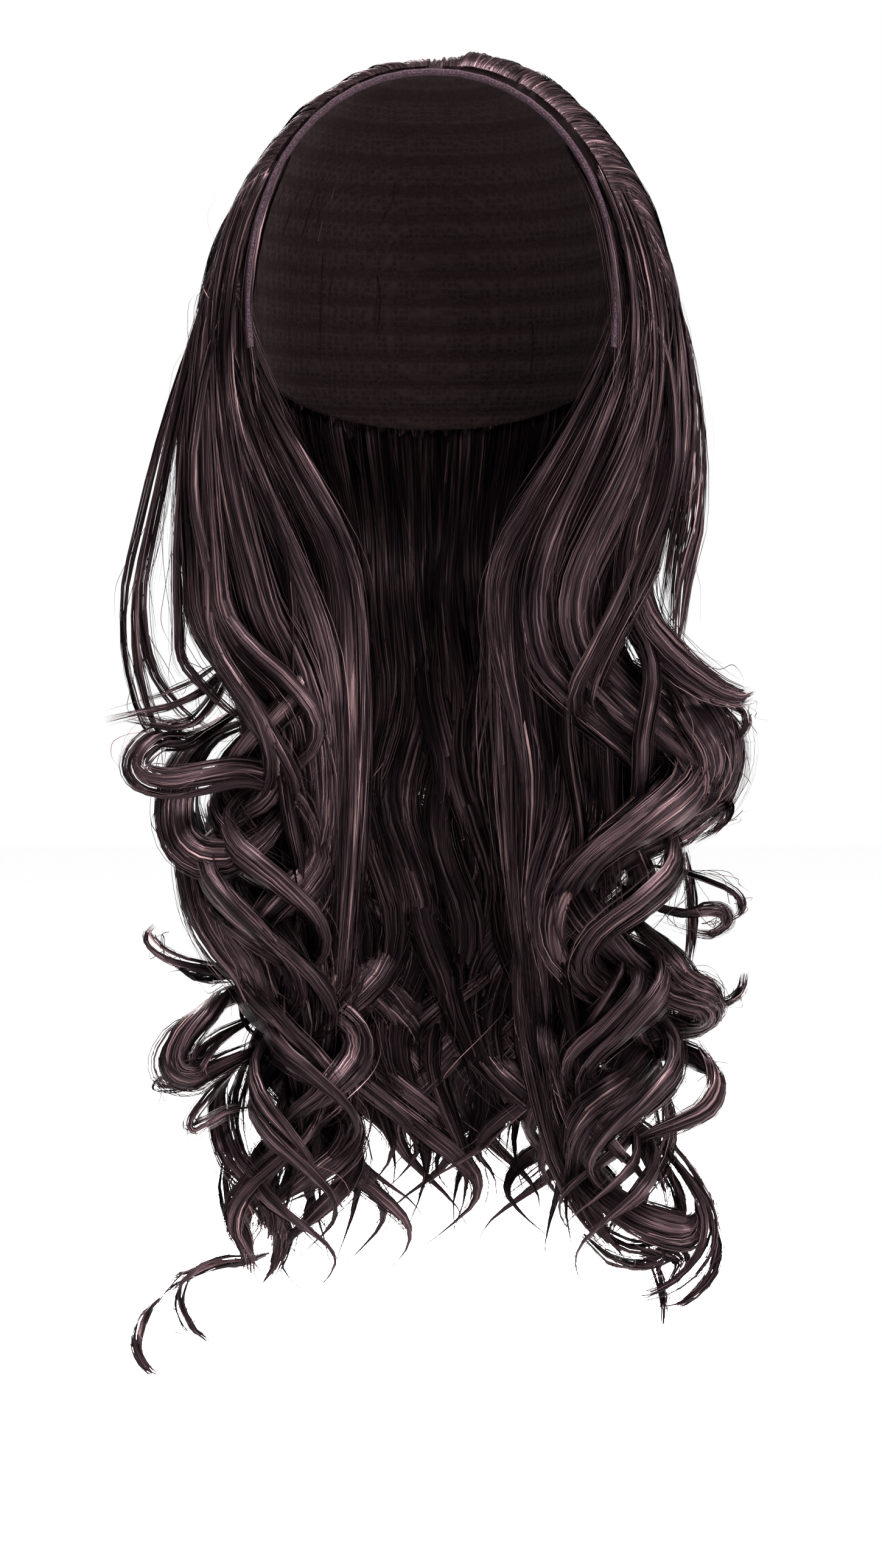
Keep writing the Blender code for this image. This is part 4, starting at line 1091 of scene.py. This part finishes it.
def hair_material(name, tone):
    """Dark brown fibres: fine streaks, with some strands redder and lighter than others."""
    made, tree, shader = new_material(name)
    uv = node(tree, "ShaderNodeUVMap", uv_map="strands").outputs["UV"]
    fine = streak_noise(tree, uv, 3.2, 0.07, 3)
    broad = streak_noise(tree, uv, 0.55, 0.02, 1)
    lesser = node(tree, "ShaderNodeMath", operation="MULTIPLY")
    tree.links.new(broad, lesser.inputs[0])
    lesser.inputs[1].default_value = 1 - FINE_SHARE
    mixed = node(tree, "ShaderNodeMath", operation="MULTIPLY_ADD")
    tree.links.new(fine, mixed.inputs[0])
    mixed.inputs[1].default_value = FINE_SHARE
    tree.links.new(lesser.outputs[0], mixed.inputs[2])
    stops = [(place, [tone * value for value in colour]) for place, colour in HAIR_STOPS]
    tree.links.new(ramp(tree, mixed.outputs[0], stops), shader.inputs["Base Color"])
    tree.links.new(bump(tree, fine, 0.8, 0.0012), shader.inputs["Normal"])
    tangent = node(tree, "ShaderNodeTangent", direction_type="UV_MAP", uv_map="strands")
    tree.links.new(tangent.outputs[0], shader.inputs["Tangent"])
    shader.inputs["Anisotropic"].default_value = 0.75
    shader.inputs["Metallic"].default_value = 0.6
    shader.inputs["Roughness"].default_value = 0.38
    shader.inputs["Specular IOR Level"].default_value = 0.06 * tone
    shader.inputs["Specular Tint"].default_value = (0.40, 0.31, 0.32, 1)
    return made


def cap_material():
    """Stretch net cloth, crossed by the stitched tracks that carry the hair."""
    made, tree, shader = new_material("cap_net")
    place = node(tree, "ShaderNodeTexCoord").outputs["Object"]
    net = node(tree, "ShaderNodeTexVoronoi", feature="F1", distance="CHEBYCHEV")
    net.inputs["Scale"].default_value = 420
    net.inputs["Randomness"].default_value = 0.35
    tree.links.new(place, net.inputs["Vector"])
    tracks = node(tree, "ShaderNodeTexWave", wave_type="BANDS", bands_direction="Z")
    tracks.inputs["Scale"].default_value = 26
    tracks.inputs["Distortion"].default_value = 0.4
    tree.links.new(place, tracks.inputs["Vector"])
    track = ramp(tree, tracks.outputs["Fac"], ((0.70, (0, 0, 0)), (0.82, (1, 1, 1))))
    cloth = ramp(
        tree, net.outputs["Distance"], ((0.15, (0.002, 0.001, 0.001)), (0.6, (0.005, 0.003, 0.003)))
    )
    stitches = node(tree, "ShaderNodeTexNoise")
    stitches.inputs["Scale"].default_value = 900
    tree.links.new(place, stitches.inputs["Vector"])
    thread = ramp(
        tree, stitches.outputs["Fac"], ((0.4, (0.002, 0.001, 0.001)), (0.7, (0.004, 0.002, 0.002)))
    )
    mix = node(tree, "ShaderNodeMix", data_type="RGBA")
    tree.links.new(track, mix.inputs["Factor"])
    tree.links.new(cloth, mix.inputs[6])
    tree.links.new(thread, mix.inputs[7])
    tree.links.new(mix.outputs[2], shader.inputs["Base Color"])
    height = node(tree, "ShaderNodeMath", operation="MULTIPLY_ADD")
    tree.links.new(tracks.outputs["Fac"], height.inputs[0])
    height.inputs[1].default_value = 1.5
    tree.links.new(net.outputs["Distance"], height.inputs[2])
    tree.links.new(bump(tree, height.outputs[0], 0.9, 0.0012), shader.inputs["Normal"])
    shader.inputs["Roughness"].default_value = 0.95
    shader.inputs["IOR"].default_value = 1.1
    return made


def band_material():
    """Purple-brown binding with a fine ribbed weave."""
    made, tree, shader = new_material("band_weave")
    place = node(tree, "ShaderNodeTexCoord").outputs["Object"]
    weave = node(tree, "ShaderNodeTexVoronoi", feature="F1", distance="MANHATTAN")
    weave.inputs["Scale"].default_value = 1500
    tree.links.new(place, weave.inputs["Vector"])
    stops = ((0.1, (0.026, 0.015, 0.019)), (0.8, (0.007, 0.004, 0.0055)))
    tree.links.new(ramp(tree, weave.outputs["Distance"], stops), shader.inputs["Base Color"])
    tree.links.new(bump(tree, weave.outputs["Distance"], 0.6, 0.0004), shader.inputs["Normal"])
    shader.inputs["Roughness"].default_value = 0.95
    shader.inputs["IOR"].default_value = 1.1
    return made


def plain_material(name, colour, roughness):
    made, _, shader = new_material(name)
    shader.inputs["Base Color"].default_value = (*colour, 1)
    shader.inputs["Roughness"].default_value = roughness
    return made


HAIR = {
    "hair": hair_material("dark_hair", 0.82),
    # A darker copy of the same hair for the inner curtain: painted shade for the shadow that falls
    # beside the neck
    "under_hair": hair_material("shaded_hair", 0.25),
}


def finish_hair(piece, nodes, slot="hair"):
    piece.data.materials.append(HAIR[slot])
    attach(piece, "root")
    if nodes:
        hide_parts(*nodes)
    return piece


def dress_nodes():
    looks = {"cap": cap_material(), "edge_band": band_material()}
    for name, look in looks.items():
        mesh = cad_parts[name].data
        mesh.materials.clear()
        mesh.materials.append(look)


# Studio


def make_floor():
    """A wide pale floor below the hair's tips."""
    mesh = bpy.data.meshes.new("floor")
    corners = [(x, y, FLOOR_Z) for x, y in ((-30, -30), (30, -30), (30, 30), (-30, 30))]
    mesh.from_pydata(corners, [], [(0, 1, 2, 3)])
    mesh.materials.append(plain_material("pale_paper", (0.98, 0.98, 0.98), 0.9))
    add_object("floor", mesh)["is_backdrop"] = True


def make_light(name, place, target, size, power):
    data = bpy.data.lights.new(name, "AREA")
    data.shape = "RECTANGLE"
    data.size, data.size_y = size
    data.energy = power
    light = add_object(name, data)
    light.location = place
    aim = add_object(name + "_aim", None)
    aim.location = target
    track = light.constraints.new("TRACK_TO")
    track.target = aim
    track.track_axis = "TRACK_NEGATIVE_Z"
    track.up_axis = "UP_Y"


def make_studio():
    middle = (0, 0, -0.28)
    make_light("key_light", (1.5, -2.2, 0.9), middle, (0.6, 0.9), 170)
    make_light("right_light", (2.4, -0.9, 0.0), (0, 0, -0.12), (0.5, 0.7), 190)
    make_light("fill_light", (-1.6, -2.0, 0.6), middle, (0.6, 0.9), 55)
    make_light("top_light", (0.1, -0.5, 1.9), (0, 0, 0), (1.0, 0.7), 600)
    make_light("back_light", (-0.8, 2.4, 0.9), middle, (0.9, 1.2), 140)
    world = bpy.data.worlds.new("studio")
    world.use_nodes = True
    world.node_tree.nodes["Background"].inputs["Color"].default_value = (1, 1, 1, 1)
    world.node_tree.nodes["Background"].inputs["Strength"].default_value = 1.0
    bpy.context.scene.world = world
    bpy.context.scene.view_settings.view_transform = "Standard"


def make_camera():
    data = bpy.data.cameras.new("camera")
    data.sensor_width = SENSOR * 1000
    data.lens = SENSOR * 1000 * CAMERA_DISTANCE / (PHOTO_HEIGHT * PIXEL)
    camera = add_object("camera", data)
    camera.location = (CAMERA_X, -CAMERA_DISTANCE, CAMERA_Z)
    camera.rotation_euler = (math.pi / 2, 0, 0)
    bpy.context.scene.camera = camera


make_camera()
make_studio()
make_floor()
dress_nodes()
make_mantle("crown_mantle", ["crown_hair"])
make_crown_strands("crown_strands", ["crown_hair"])
make_ribbons("left_ribbons", -1, LEFT_RIBBONS, ["left_hair"])
make_ribbons("right_ribbons", 1, RIGHT_RIBBONS, ["right_hair"])
make_inner_curtain("inner_curtain", ["back_hair"])
make_fill("right_locks", 0, 58, ["right_hair"])
make_fill("back_locks", 58, 122, ["back_hair"])
make_fill("left_locks", 122, 181, ["left_hair"])
make_flyaways("flyaway_hairs", 260)

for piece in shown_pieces():
    if piece.type == "MESH":
        triangles = sum(len(face.vertices) - 2 for face in piece.data.polygons)
        print(piece.name, triangles, "triangles")
